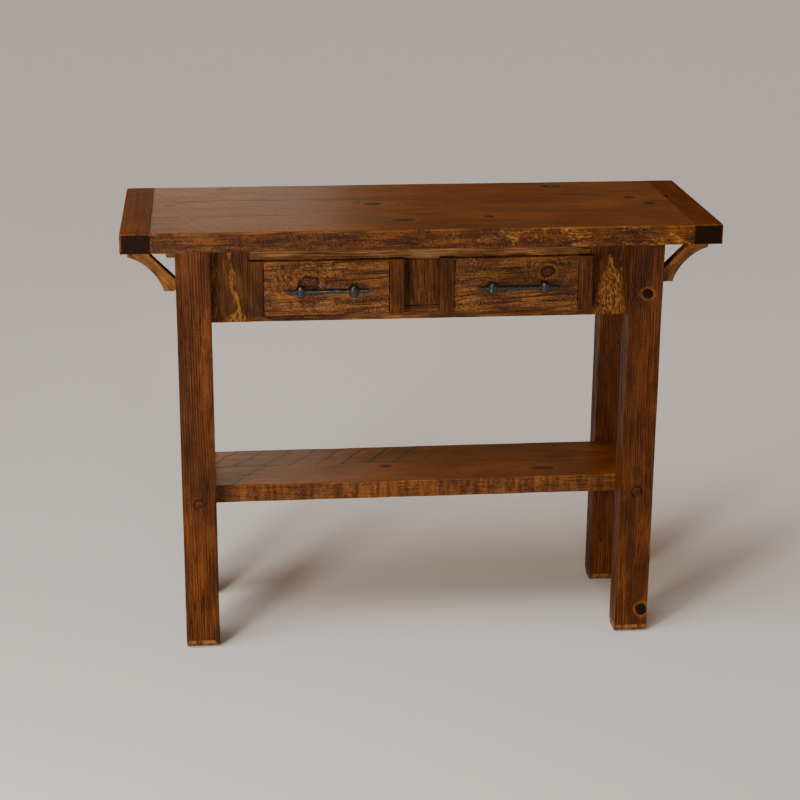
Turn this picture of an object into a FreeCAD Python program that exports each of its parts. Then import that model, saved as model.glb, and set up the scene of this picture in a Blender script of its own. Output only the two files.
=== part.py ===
import FreeCAD, Part
import Sketcher
import os

# Console table with two drawers and a lower shelf.
# Frame: X along the length, front towards -Y, Z up. The origin is on the floor
# under the middle of the top. All sizes are in millimetres.

doc = FreeCAD.newDocument("console_table")
sheet = doc.addObject("Spreadsheet::Sheet", "sizes")

sizes = {
    # top: three planks held between two boards that run across their ends
    "top_length": 1220,
    "top_depth": 450,
    "table_height": 927,
    "top_thickness": 42,
    "end_board_width": 61,
    "outer_plank_width": 150,
    "tongue_length": 22,
    "tongue_thickness": 14,
    "tongue_stop": 20,
    "groove_slack": 1,
    "top_arris": 5,
    "top_corner": 8,
    # legs
    "leg_width": 73,
    "leg_depth": 60,
    "end_overhang": 106.5,
    "front_overhang": 54,
    "leg_arris": 2,
    "foot_chamfer": 11,
    "foot_side_chamfer": 3,
    # boards between the legs, under the top
    "apron_height": 166,
    "apron_thickness": 25,
    "apron_setback": 25,
    "side_tenon_length": 24,
    "tenon_thickness": 10,
    "tenon_shoulder": 12,
    "mortise_slack": 1,
    "mortise_wall": 5.5,
    # front frame around the two drawer openings
    "top_rail_height": 39,
    "bottom_rail_height": 29,
    "end_block_width": 81.5,
    "middle_block_width": 86,
    "dowel_diameter": 8,
    "dowel_length": 40,
    "dowel_slack": 1,
    "middle_dowel_spacing": 44,
    # lower shelf
    "shelf_top_height": 350,
    "shelf_thickness": 40,
    "shelf_back_plank_width": 104,
    "shelf_end_inset": 3.5,
    # lag screws through the legs into the shelf, hidden by wooden plugs
    "plug_diameter": 20,
    "plug_thickness": 10,
    "lag_head_size": 13,
    "lag_head_thickness": 6,
    "lag_diameter": 8,
    "lag_bite": 40,
    # curved braces between the legs and the ends of the top
    "brace_end_gap": 11.5,
    "brace_nose": 23,
    "brace_inner_edge": 67,
    "brace_arc_radius": 107,
    "brace_thickness": 28,
    # wood screws
    "screw_diameter": 4,
    "screw_head_diameter": 8,
    "screw_head_depth": 3,
    "screw_length": 45,
    "brace_screw_seat": 22,
    # runners, guides and kickers that carry the drawers
    "runner_thickness": 20,
    "runner_bearing": 17,
    "guide_width": 22,
    "guide_height": 25,
    "kicker_width": 40,
    "kicker_gap": 2.5,
    "kicker_screw_inset": 20,
    "kicker_counterbore": 16,
    # drawer boxes
    "drawer_running_gap": 0.5,
    "drawer_side_gap": 1.5,
    "drawer_front_gap": 0.5,
    "drawer_back_gap": 6,
    "drawer_top_gap": 7.5,
    "box_side_thickness": 12,
    "box_front_thickness": 14,
    "box_back_thickness": 12,
    "bottom_thickness": 5,
    "bottom_lift": 8,
    "groove_depth": 5,
    "bottom_slack": 0.2,
    # drawer fronts, which lap over the front frame
    "front_thickness": 19,
    "front_lap": 6,
    "front_bottom_lap": 12,
    "cap_width": 30,
    "cap_tongue_length": 8,
    "cap_tongue_thickness": 7,
    "cap_tongue_stop": 10,
    # forged bar pulls
    "pull_rod_diameter": 9,
    "pull_rod_length": 168,
    "pull_rod_rounding": 2,
    "pull_post_spacing": 108,
    "pull_standoff": 27,
    "knuckle_width": 18.5,
    "knuckle_height": 23,
    "knuckle_depth": 20,
    "pull_neck_diameter": 12,
    "pull_foot_diameter": 18,
    "pull_foot_thickness": 3,
    "pull_screw_diameter": 5,
    "pull_screw_bite": 12,
    "pull_screw_slack": 0.5,
    "pull_screw_head_diameter": 9,
    "pull_screw_head_thickness": 3,
    "front_screw_inset": 39,
    "front_screw_edge": 20,
    "front_screw_bite": 12,
}

for row, (alias, value) in enumerate(sizes.items(), 1):
    sheet.set("A%d" % row, alias)
    sheet.set("B%d" % row, str(value))
    sheet.setAlias("B%d" % row, alias)
doc.recompute()


def size(alias):
    return float(sheet.get(alias))


# Sizes and places that several pieces share, each worked out from the ones above it.
worked_out = {
    "leg_spread": "top_length - 2 * end_overhang",
    "leg_stance": "top_depth - 2 * front_overhang",
    "plank_length": "top_length - 2 * end_board_width",
    "middle_plank_width": "top_depth - 2 * outer_plank_width",
    "underside": "table_height - top_thickness",
    "leg_inner_face": "leg_spread / 2 - leg_width",
    "leg_gap_depth": "leg_stance - 2 * leg_depth",
    # boards under the top
    "apron_bottom": "underside - apron_height",
    "frame_front": "apron_setback - leg_stance / 2",
    "frame_back": "frame_front + apron_thickness",
    "well_depth": "-2 * frame_back",
    "tenon_height": "apron_height - 2 * tenon_shoulder",
    "tenon_cheek": "(apron_thickness - tenon_thickness) / 2",
    "side_mortise_end": "apron_setback + tenon_cheek + tenon_thickness",
    "rail_tenon_length": "leg_width - side_mortise_end - mortise_wall - mortise_slack",
    # front frame
    "opening_bottom": "apron_bottom + bottom_rail_height",
    "opening_height": "apron_height - top_rail_height - bottom_rail_height",
    "opening_width": "leg_inner_face - end_block_width - middle_block_width / 2",
    "opening_centre": "(middle_block_width + opening_width) / 2",
    "opening_outer_edge": "middle_block_width / 2 + opening_width",
    "rail_length": "2 * opening_outer_edge",
    "bottom_rail_middle": "bottom_rail_height / 2",
    "top_rail_middle": "apron_height - top_rail_height / 2",
    "frame_middle": "apron_thickness / 2",
    "bore_depth": "dowel_length / 2 + dowel_slack",
    # shelf and its screws
    "shelf_length": "leg_spread - 2 * shelf_end_inset",
    "shelf_middle_height": "shelf_top_height - shelf_thickness / 2",
    "leg_middle": "(leg_spread - leg_width) / 2",
    # braces and their screws
    "brace_middle": "(leg_stance - leg_depth) / 2",
    "brace_reach": "end_overhang - brace_end_gap",
    "brace_screw_line": "(brace_inner_edge + brace_reach) / 2",
    "brace_screw_bite": "screw_length - brace_screw_seat",
    # strips that carry the drawers
    "runner_bottom": "opening_bottom - runner_thickness",
    "outer_runner_width": "guide_width + runner_bearing",
    "box_height": "opening_height - drawer_running_gap - drawer_top_gap",
    "kicker_bottom": "drawer_running_gap + box_height + kicker_gap",
    "kicker_height": "opening_height + top_rail_height - kicker_bottom",
    "kicker_screw_y": "well_depth / 2 - kicker_screw_inset",
    "kicker_screw_bite": "screw_length + kicker_counterbore - kicker_height",
    # a drawer, measured from the middle of its opening and the face of the front frame
    "box_width": "opening_width - 2 * drawer_side_gap",
    "box_inside": "box_width - 2 * box_side_thickness",
    "box_start": "-drawer_front_gap",
    "box_end": "apron_thickness + well_depth - drawer_back_gap",
    "box_length": "box_end - box_start",
    "box_front_inside": "box_start + box_front_thickness",
    "box_floor": "drawer_running_gap + bottom_lift",
    "bottom_groove": "bottom_thickness + bottom_slack",
    "bottom_width": "box_inside + 2 * groove_depth - groove_slack",
    "bottom_start": "box_front_inside - groove_depth + groove_slack / 2",
    "face_start": "box_start - front_thickness",
    "face_height": "opening_height + front_lap + front_bottom_lap",
    "panel_width": "opening_width + 2 * front_lap - 2 * cap_width",
    "pull_height": "face_height / 2 - front_bottom_lap",
    "pull_axis": "face_start - pull_standoff",
    "pull_screw_length": "box_front_thickness + front_thickness + pull_screw_bite",
    "pull_bore": "pull_screw_diameter + pull_screw_slack",
}


def cell(text):
    """Spell an expression: words from the two lists above become references to the sheet."""
    words = []
    word = ""
    for letter in text + " ":
        if letter.isalnum() or letter in "_.":
            word += letter
            continue
        if word in worked_out:
            words.append("(" + cell(worked_out[word]) + ")")
        else:
            words.append("sizes." + word if word in sizes else word)
        words.append(letter)
        word = ""
    return "".join(words).strip()


pieces = []


def bind(thing, **expressions):
    for prop, text in expressions.items():
        thing.setExpression(prop, cell(text))


def place(thing, x="0", y="0", z="0"):
    thing.setExpression("Placement.Base.x", cell(x))
    thing.setExpression("Placement.Base.y", cell(y))
    thing.setExpression("Placement.Base.z", cell(z))
    return thing


# axis and angle that turn a cylinder from Z to each direction
turns = {
    "z": (FreeCAD.Vector(1, 0, 0), 0),
    "-z": (FreeCAD.Vector(1, 0, 0), 180),
    "y": (FreeCAD.Vector(1, 0, 0), -90),
    "-y": (FreeCAD.Vector(1, 0, 0), 90),
    "x": (FreeCAD.Vector(0, 1, 0), 90),
    "-x": (FreeCAD.Vector(0, 1, 0), -90),
}


def point_along(thing, direction):
    axis, degrees = turns[direction]
    thing.Placement = FreeCAD.Placement(FreeCAD.Vector(), FreeCAD.Rotation(axis, degrees))


def block(length, width, height, x="0", y="0", z="0"):
    """A box with its low corner at x, y, z."""
    thing = doc.addObject("Part::Box", "block")
    bind(thing, Length=length, Width=width, Height=height)
    return place(thing, x, y, z)


def rod(diameter, length, along, x="0", y="0", z="0"):
    """A cylinder that starts at x, y, z and runs along the axis named."""
    thing = doc.addObject("Part::Cylinder", "rod")
    point_along(thing, along)
    bind(thing, Radius="%s / 2" % diameter, Height=length)
    return place(thing, x, y, z)


def cone(small, large, length, along, x="0", y="0", z="0"):
    """A cone that starts with its small end at x, y, z."""
    thing = doc.addObject("Part::Cone", "cone")
    point_along(thing, along)
    bind(thing, Radius1="%s / 2" % small, Radius2="%s / 2" % large, Height=length)
    return place(thing, x, y, z)


def fuse(things):
    if len(things) == 1:
        return things[0]
    thing = doc.addObject("Part::MultiFuse", "fuse")
    thing.Shapes = things
    return thing


def group(things):
    """Separate solids that are kept as one node."""
    thing = doc.addObject("Part::Compound", "group")
    thing.Links = things
    return thing


def cut(base, tools):
    thing = doc.addObject("Part::Cut", "cut")
    thing.Base = base
    thing.Tool = fuse(tools)
    return thing


def name_piece(thing, label, x="0", y="0", z="0"):
    thing.Label = label
    place(thing, x, y, z)
    pieces.append(thing)
    return thing


def edges_where(shape, test):
    """Names of the edges whose middle and direction pass the test."""
    names = []
    for number, edge in enumerate(shape.Edges, 1):
        middle = edge.valueAt((edge.FirstParameter + edge.LastParameter) / 2)
        along = (edge.Vertexes[-1].Point - edge.Vertexes[0].Point)
        if along.Length > 0:
            along.normalize()
        if test(middle, along):
            names.append("Edge%d" % number)
    return names


def new_body(name):
    return doc.addObject("PartDesign::Body", name)


def plane_of(body, role):
    for feature in body.Origin.OriginFeatures:
        if feature.Role == role:
            return feature
    raise ValueError("no origin plane " + role)


def outline(body, role, corners):
    """A closed sketch of straight lines; each corner is a pair of expressions."""
    sketch = body.newObject("Sketcher::SketchObject", body.Name + "_outline")
    sketch.AttachmentSupport = [(plane_of(body, role), "")]
    sketch.MapMode = "FlatFace"
    points = []
    for across, up in corners:
        numbers = [value_of(across), value_of(up)]
        points.append(FreeCAD.Vector(numbers[0], numbers[1], 0))
    count = len(points)
    for index in range(count):
        sketch.addGeometry(Part.LineSegment(points[index], points[(index + 1) % count]))
    for index in range(count):
        sketch.addConstraint(Sketcher.Constraint("Coincident", index, 2, (index + 1) % count, 1))
    for index, (across, up) in enumerate(corners):
        if across == "0":
            sketch.addConstraint(Sketcher.Constraint("PointOnObject", index, 1, -2))
        else:
            pin = Sketcher.Constraint("DistanceX", -1, 1, index, 1, points[index].x)
            number = sketch.addConstraint(pin)
            sketch.setExpression("Constraints[%d]" % number, cell(across))
        if up == "0":
            sketch.addConstraint(Sketcher.Constraint("PointOnObject", index, 1, -1))
        else:
            pin = Sketcher.Constraint("DistanceY", -1, 1, index, 1, points[index].y)
            number = sketch.addConstraint(pin)
            sketch.setExpression("Constraints[%d]" % number, cell(up))
    return sketch


def value_of(text):
    """The number that an expression has now."""
    return float(sheet.evalExpression(cell(text)))


def pad(body, sketch, length, middle=False):
    feature = body.newObject("PartDesign::Pad", body.Name + "_pad")
    feature.Profile = sketch
    feature.Midplane = middle
    bind(feature, Length=length)
    return feature


def drill(body, diameter, length, along, x, y, z):
    """Take a cylinder out of a body."""
    feature = body.newObject("PartDesign::SubtractiveCylinder", body.Name + "_hole")
    point_along(feature, along)
    bind(feature, Radius="%s / 2" % diameter, Height=length)
    return place(feature, x, y, z)


def countersink(body, along, x, y, z):
    """Take the seat of a screw's head out of a body; x, y, z is its narrow end."""
    feature = body.newObject("PartDesign::SubtractiveCone", body.Name + "_countersink")
    point_along(feature, along)
    bind(feature, Radius1="screw_diameter / 2", Radius2="screw_head_diameter / 2",
         Height="screw_head_depth")
    return place(feature, x, y, z)


def mortise(body, length, width, height, x, y, z):
    """Take a box out of a body."""
    feature = body.newObject("PartDesign::SubtractiveBox", body.Name + "_mortise")
    bind(feature, Length=length, Width=width, Height=height)
    return place(feature, x, y, z)


def ease(body, kind, test, amount):
    """Fillet or chamfer the edges of a body that pass the test."""
    doc.recompute()
    base = body.Tip
    feature = body.newObject("PartDesign::" + kind, body.Name + "_" + kind.lower())
    feature.Base = (base, edges_where(base.Shape, test))
    if kind == "Fillet":
        bind(feature, Radius=amount)
    else:
        bind(feature, Size=amount)
    return feature


# ---- the top ----

def top_plank(label, width, y, arris_side):
    """A plank with a tongue at each end; arris_side is the long edge that is rounded."""
    body = new_body(label)
    corners = [("0", "0"), ("plank_length", "0"), ("plank_length", width), ("0", width)]
    sketch = outline(body, "XY_Plane", corners)
    pad(body, sketch, "top_thickness")
    if arris_side:
        rear = value_of(width)
        wanted = 0.0 if arris_side < 0 else rear
        high = size("top_thickness")
        ease(body, "Fillet", lambda at, along: abs(along.x) > 0.9 and abs(at.y - wanted) < 0.01
             and abs(at.z - high) < 0.01, "top_arris")
    tongue = body.newObject("PartDesign::AdditiveBox", label + "_tongue")
    stop_low = "tongue_stop" if arris_side < 0 else "0"
    stops = "tongue_stop" if arris_side else "0"
    bind(tongue, Length="plank_length + 2 * tongue_length", Width="%s - %s" % (width, stops),
         Height="tongue_thickness")
    place(tongue, "-tongue_length", stop_low, "(top_thickness - tongue_thickness) / 2")
    # pilots for the screws that come up through the kickers
    for side in ("-1", "1"):
        drill(body, "screw_diameter", "kicker_screw_bite", "z",
              "plank_length / 2 + %s * opening_centre" % side,
              "%d * kicker_screw_y - (%s)" % (arris_side, y), "0")
    return name_piece(body, label, "-plank_length / 2", y, "underside")


top_plank("top_plank_front", "outer_plank_width", "-top_depth / 2", -1)
top_plank("top_plank_middle", "middle_plank_width", "-middle_plank_width / 2", 0)
top_plank("top_plank_back", "outer_plank_width", "middle_plank_width / 2", 1)


def end_board(label, side):
    """A board across the plank ends, grooved for their tongues."""
    body = new_body(label)
    corners = [("0", "0"), ("end_board_width", "0"), ("end_board_width", "top_depth"), ("0", "top_depth")]
    pad(body, outline(body, "XY_Plane", corners), "top_thickness")
    outer = 0.0 if side < 0 else size("end_board_width")
    high = size("top_thickness")
    ease(body, "Fillet", lambda at, along: abs(along.z) > 0.9 and abs(at.x - outer) < 0.01, "top_corner")
    ease(body, "Fillet", lambda at, along: abs(at.z - high) < 0.01
         and not (abs(along.y) > 0.9 and abs(at.x - outer) > 1.0), "top_arris")
    groove_start = "end_board_width - tongue_length - groove_slack" if side < 0 else "0"
    mortise(body, "tongue_length + groove_slack", "top_depth - 2 * tongue_stop", "tongue_thickness",
            groove_start, "tongue_stop", "(top_thickness - tongue_thickness) / 2")
    # pilots for the screws that come up through the braces
    from_end = "(end_overhang - brace_screw_line)"
    pilot_x = from_end if side < 0 else "end_board_width - %s" % from_end
    for end in ("-1", "1"):
        drill(body, "screw_diameter", "brace_screw_bite", "z", pilot_x,
              "top_depth / 2 + %s * brace_middle" % end, "0")
    x = "-top_length / 2" if side < 0 else "top_length / 2 - end_board_width"
    return name_piece(body, label, x, "-top_depth / 2", "underside")


end_board("end_board_left", -1)
end_board("end_board_right", 1)


# ---- legs ----

def leg(label, side, end):
    """side is -1 at the left, 1 at the right; end is -1 at the front, 1 at the back."""
    body = new_body(label)
    corners = [("0", "0"), ("leg_width", "0"), ("leg_width", "leg_depth"), ("0", "leg_depth")]
    pad(body, outline(body, "XY_Plane", corners), "underside")
    ease(body, "Chamfer", lambda at, along: abs(at.z) < 0.01 and abs(along.x) > 0.9, "foot_chamfer")
    ease(body, "Chamfer", lambda at, along: abs(at.z) < 0.01 and abs(along.y) > 0.9, "foot_side_chamfer")
    ease(body, "Fillet", lambda at, along: abs(along.z) > 0.9, "leg_arris")
    # mortise for the board between the left and right legs
    deep = "(rail_tenon_length + mortise_slack)"
    cheek = "(apron_setback + tenon_cheek)"
    mortise_y = cheek if end < 0 else "leg_depth - %s - tenon_thickness" % cheek
    mortise_x = "leg_width - %s" % deep if side < 0 else "0"
    low = "apron_bottom + tenon_shoulder"
    mortise(body, deep, "tenon_thickness", "tenon_height", mortise_x, mortise_y, low)
    # mortise for the board between the front and back legs
    deep = "(side_tenon_length + mortise_slack)"
    mortise_x = cheek if side < 0 else "leg_width - %s - tenon_thickness" % cheek
    mortise_y = "leg_depth - %s" % deep if end < 0 else "0"
    mortise(body, "tenon_thickness", deep, "tenon_height", mortise_x, mortise_y, low)
    # bore for the lag screw and its plug
    start = "0" if end < 0 else "leg_depth"
    along = "y" if end < 0 else "-y"
    pocket = "plug_thickness + lag_head_thickness"
    drill(body, "plug_diameter", pocket, along, "leg_width / 2", start, "shelf_middle_height")
    drill(body, "lag_diameter", "leg_depth", along, "leg_width / 2", start, "shelf_middle_height")
    # pilot for the screw that holds the brace
    outer = "0" if side < 0 else "leg_width"
    inward = "x" if side < 0 else "-x"
    drill(body, "screw_diameter", "brace_screw_bite", inward, outer, "leg_depth / 2",
          "underside - brace_screw_line")
    x = "-leg_spread / 2" if side < 0 else "leg_spread / 2 - leg_width"
    y = "-leg_stance / 2" if end < 0 else "leg_stance / 2 - leg_depth"
    return name_piece(body, label, x, y)


sides = {"left": -1, "right": 1}
ends = {"front": -1, "back": 1}
for end_name, end in ends.items():
    for side_name, side in sides.items():
        leg("leg_%s_%s" % (end_name, side_name), side, end)


# ---- front frame ----

def dowel_bore(x, y, z, along):
    return rod("dowel_diameter", "(dowel_length / 2 + dowel_slack)", along, x, y, z)




def end_block(label, side):
    """An upright block beside a drawer, tenoned into the leg."""
    board = block("end_block_width", "apron_thickness", "apron_height")
    tenon_x = "-rail_tenon_length" if side < 0 else "end_block_width"
    tenon = block("rail_tenon_length", "tenon_thickness", "tenon_height",
                  tenon_x, "tenon_cheek", "tenon_shoulder")
    bore_x = "end_block_width - bore_depth" if side < 0 else "0"
    bores = []
    for height in ("bottom_rail_middle", "top_rail_middle"):
        bores.append(dowel_bore(bore_x, "frame_middle", height, "x"))
    piece = cut(fuse([board, tenon]), bores)
    x = "-leg_inner_face" if side < 0 else "opening_outer_edge"
    return name_piece(piece, label, x, "frame_front", "apron_bottom")


end_block("front_block_left", -1)
end_block("front_block_right", 1)


def middle_block():
    board = block("middle_block_width", "apron_thickness", "opening_height")
    bores = []
    for shift in ("-1", "1"):
        x = "middle_block_width / 2 + %s * middle_dowel_spacing / 2" % shift
        bores.append(dowel_bore(x, "frame_middle", "0", "z"))
        bores.append(dowel_bore(x, "frame_middle", "opening_height - bore_depth", "z"))
    return name_piece(cut(board, bores), "front_block_middle",
                      "-middle_block_width / 2", "frame_front", "opening_bottom")


middle_block()


def front_rail(label, height, z, dowel_z, middle_bore_z):
    """A rail over or under both openings, dowelled to the three blocks."""
    board = block("rail_length", "apron_thickness", height)
    bores = [dowel_bore("0", "frame_middle", dowel_z, "x"),
             dowel_bore("rail_length - bore_depth", "frame_middle", dowel_z, "x")]
    for shift in ("-1", "1"):
        x = "rail_length / 2 + %s * middle_dowel_spacing / 2" % shift
        bores.append(dowel_bore(x, "frame_middle", middle_bore_z, "z"))
    return name_piece(cut(board, bores), label, "-rail_length / 2", "frame_front", z)


front_rail("front_rail_bottom", "bottom_rail_height", "apron_bottom", "bottom_rail_height / 2",
           "bottom_rail_height - bore_depth")
front_rail("front_rail_top", "top_rail_height", "opening_bottom + opening_height",
           "top_rail_height / 2", "0")


def frame_dowels():
    dowels = []
    for side in ("-1", "1"):
        for height in ("bottom_rail_middle", "top_rail_middle"):
            x = "%s * opening_outer_edge - dowel_length / 2" % side
            dowels.append(rod("dowel_diameter", "dowel_length", "x", x, "frame_middle", height))
    for side in ("-1", "1"):
        for height in ("bottom_rail_height", "apron_height - top_rail_height"):
            x = "%s * middle_dowel_spacing / 2" % side
            dowels.append(rod("dowel_diameter", "dowel_length", "z", x, "frame_middle",
                              "%s - dowel_length / 2" % height))
    return name_piece(group(dowels), "frame_dowels", "0", "frame_front", "apron_bottom")


frame_dowels()


# ---- back and side boards ----

def back_apron():
    board = block("2 * leg_inner_face", "apron_thickness", "apron_height")
    tenons = block("2 * leg_inner_face + 2 * rail_tenon_length", "tenon_thickness", "tenon_height",
                   "-rail_tenon_length", "tenon_cheek", "tenon_shoulder")
    return name_piece(fuse([board, tenons]), "back_apron", "-leg_inner_face",
                      "-frame_back", "apron_bottom")


back_apron()


def side_apron(label, side):
    board = block("apron_thickness", "leg_gap_depth", "apron_height")
    tenons = block("tenon_thickness", "leg_gap_depth + 2 * side_tenon_length", "tenon_height",
                   "tenon_cheek", "-side_tenon_length", "tenon_shoulder")
    if side < 0:
        x = "apron_setback - leg_spread / 2"
    else:
        x = "leg_spread / 2 - apron_setback - apron_thickness"
    return name_piece(fuse([board, tenons]), label, x, "-leg_gap_depth / 2", "apron_bottom")


side_apron("side_apron_left", -1)
side_apron("side_apron_right", 1)


# ---- lower shelf ----

def shelf_plank(label, width, end, y):
    board = block("shelf_length", width, "shelf_thickness")
    pilots = []
    for side in ("-1", "1"):
        x = "shelf_length / 2 + %s * leg_middle" % side
        start = "0" if end < 0 else width
        along = "y" if end < 0 else "-y"
        pilots.append(rod("lag_diameter", "lag_bite", along, x, start, "shelf_thickness / 2"))
    return name_piece(cut(board, pilots), label, "-shelf_length / 2", y,
                      "shelf_top_height - shelf_thickness")


shelf_plank("shelf_plank_front", "(leg_gap_depth - shelf_back_plank_width)", -1, "-leg_gap_depth / 2")
shelf_plank("shelf_plank_back", "shelf_back_plank_width", 1, "leg_gap_depth / 2 - shelf_back_plank_width")


def at_each_leg(make):
    """One solid per leg, made from its x, its outer face and the way inwards."""
    made = []
    for end in ends.values():
        for side in sides.values():
            x = "%d * leg_middle" % side
            face = "%d * leg_stance / 2" % end
            made.append(make(x, face, end))
    return made


def plug(x, face, end):
    along = "y" if end < 0 else "-y"
    return rod("plug_diameter", "plug_thickness", along, x, face, "0")


def lag_screw(x, face, end):
    along = "y" if end < 0 else "-y"
    seat = "%s - %d * plug_thickness" % (face, end)
    head = doc.addObject("Part::Prism", "lag_head")
    head.Polygon = 6
    point_along(head, along)
    bind(head, Circumradius="lag_head_size / sqrt(3)", Height="lag_head_thickness")
    place(head, x, seat)
    shank = rod("lag_diameter", "(leg_depth - plug_thickness + lag_bite)", along, x, seat)
    return fuse([head, shank])


name_piece(group(at_each_leg(plug)), "leg_plugs", z="shelf_middle_height")
name_piece(group(at_each_leg(lag_screw)), "lag_screws", z="shelf_middle_height")


# ---- braces ----

def brace(label, side, end):
    """A curved bracket; its outline has the leg's face at x = 0 and the top at y = 0."""
    body = new_body(label)
    reach = "%d * brace_reach" % side
    nose = "%d * brace_nose" % side
    inner = "%d * brace_inner_edge" % side
    corners = [("0", "-brace_inner_edge"), (inner, "0"), (reach, "0"), (reach, "-brace_nose"),
               (nose, "-brace_reach"), ("0", "-brace_reach")]
    pad(body, outline(body, "XZ_Plane", corners), "brace_thickness", middle=True)
    half_chord = "((brace_reach - brace_nose) / sqrt(2))"
    centre = "((brace_reach + brace_nose + sqrt(2) * sqrt(brace_arc_radius ^ 2 - %s ^ 2)) / 2)" % half_chord
    drill(body, "brace_arc_radius * 2", "2 * brace_thickness", "y",
          "%d * %s" % (side, centre), "-brace_thickness", "-%s" % centre)
    # bores for a screw up into the top and a screw into the leg
    line = "%d * brace_screw_line" % side
    outward = "x" if side > 0 else "-x"
    drill(body, "screw_head_diameter", "brace_reach", "-z", line, "0", "-brace_screw_seat")
    drill(body, "screw_diameter", "brace_screw_seat", "-z", line, "0", "0")
    countersink(body, "-z", line, "0", "screw_head_depth - brace_screw_seat")
    drill(body, "screw_head_diameter", "brace_reach", outward, "%d * brace_screw_seat" % side, "0",
          "-brace_screw_line")
    drill(body, "screw_diameter", "brace_screw_seat", outward, "0", "0", "-brace_screw_line")
    countersink(body, outward, "%d * (brace_screw_seat - screw_head_depth)" % side, "0",
                "-brace_screw_line")
    return name_piece(body, label, "%d * leg_spread / 2" % side, "%d * brace_middle" % end, "underside")


for end_name, end in ends.items():
    for side_name, side in sides.items():
        brace("brace_%s_%s" % (end_name, side_name), side, end)


# ---- runners, guides and kickers ----

def strip(label, width, height, x, z):
    """A strip from the front frame to the back board."""
    return name_piece(block(width, "well_depth", height), label, x, "frame_back", z)


for side_name, side in sides.items():
    runner_reach = "guide_width" if side < 0 else "runner_bearing"
    guide_reach = "guide_width" if side < 0 else "0"
    strip("runner_" + side_name, "outer_runner_width", "runner_thickness",
          "%d * opening_outer_edge - %s" % (side, runner_reach), "runner_bottom")
    strip("guide_" + side_name, "guide_width", "guide_height",
          "%d * opening_outer_edge - %s" % (side, guide_reach), "opening_bottom")
strip("runner_middle", "middle_block_width + 2 * runner_bearing", "runner_thickness",
      "-middle_block_width / 2 - runner_bearing", "runner_bottom")
strip("guide_middle", "middle_block_width", "guide_height", "-middle_block_width / 2", "opening_bottom")


def kicker(label, side):
    """A strip over a drawer that stops it tipping and takes the screws up into the top."""
    board = block("kicker_width", "well_depth", "kicker_height")
    bores = []
    for end in ("-1", "0", "1"):
        y = "well_depth / 2 + %s * kicker_screw_y" % end
        bores.append(rod("screw_head_diameter", "kicker_counterbore", "z", "kicker_width / 2", y))
        bores.append(rod("screw_diameter", "kicker_height", "z", "kicker_width / 2", y))
        bores.append(cone("screw_diameter", "screw_head_diameter", "screw_head_depth", "-z",
                          "kicker_width / 2", y, "kicker_counterbore + screw_head_depth"))
    return name_piece(cut(board, bores), label, "%d * opening_centre - kicker_width / 2" % side,
                      "frame_back", "opening_bottom + kicker_bottom")


kicker("kicker_left", -1)
kicker("kicker_right", 1)


def wood_screw(length, along, x, y, z, sunk_x="0", sunk_y="0", sunk_z="0"):
    """A countersunk screw; x, y, z is the top of its head, sunk the place under its head."""
    opposite = along[1:] if along[0] == "-" else "-" + along
    head = cone("screw_diameter", "screw_head_diameter", "screw_head_depth", opposite,
                sunk_x, sunk_y, sunk_z)
    return fuse([head, rod("screw_diameter", length, along, x, y, z)])


def wood_screws():
    screws = []
    for side in sides.values():
        seat = "kicker_counterbore - kicker_height"
        for end in ("-1", "0", "1"):
            x = "%d * opening_centre" % side
            y = "%s * kicker_screw_y" % end
            screws.append(wood_screw("screw_length", "z", x, y, seat, x, y, seat + " + screw_head_depth"))
        for end in ends.values():
            y = "%d * brace_middle" % end
            x = "%d * (leg_spread / 2 + brace_screw_line)" % side
            screws.append(wood_screw("screw_length", "z", x, y, "-brace_screw_seat",
                                     x, y, "-brace_screw_seat + screw_head_depth"))
            x = "%d * (leg_spread / 2 + brace_screw_seat)" % side
            sunk = "%d * (leg_spread / 2 + brace_screw_seat - screw_head_depth)" % side
            inward = "-x" if side > 0 else "x"
            screws.append(wood_screw("screw_length", inward, x, y, "-brace_screw_line",
                                     sunk, y, "-brace_screw_line"))
    return name_piece(group(screws), "wood_screws", z="underside")


wood_screws()


# ---- drawers ----
# Each drawer is drawn about the middle of its opening: x = 0 there, y = 0 at the
# face of the front frame and z = 0 at the bottom of the opening.



def front_screw_places():
    places = []
    for across in ("-1", "1"):
        for up in ("front_screw_edge", "box_height - front_screw_edge"):
            x = "%s * (panel_width / 2 - front_screw_inset)" % across
            places.append((x, "drawer_running_gap + " + up))
    return places


def drawer_piece(thing, drawer, name, x="0", y="0", z="0"):
    """Put a drawer's piece at its drawer; x, y, z is where a plain box starts in the drawer."""
    return name_piece(thing, "drawer_%s_%s" % (drawer, name),
                      "%d * opening_centre + %s" % (sides[drawer], x),
                      "frame_front + %s" % y, "opening_bottom + %s" % z)


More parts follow.
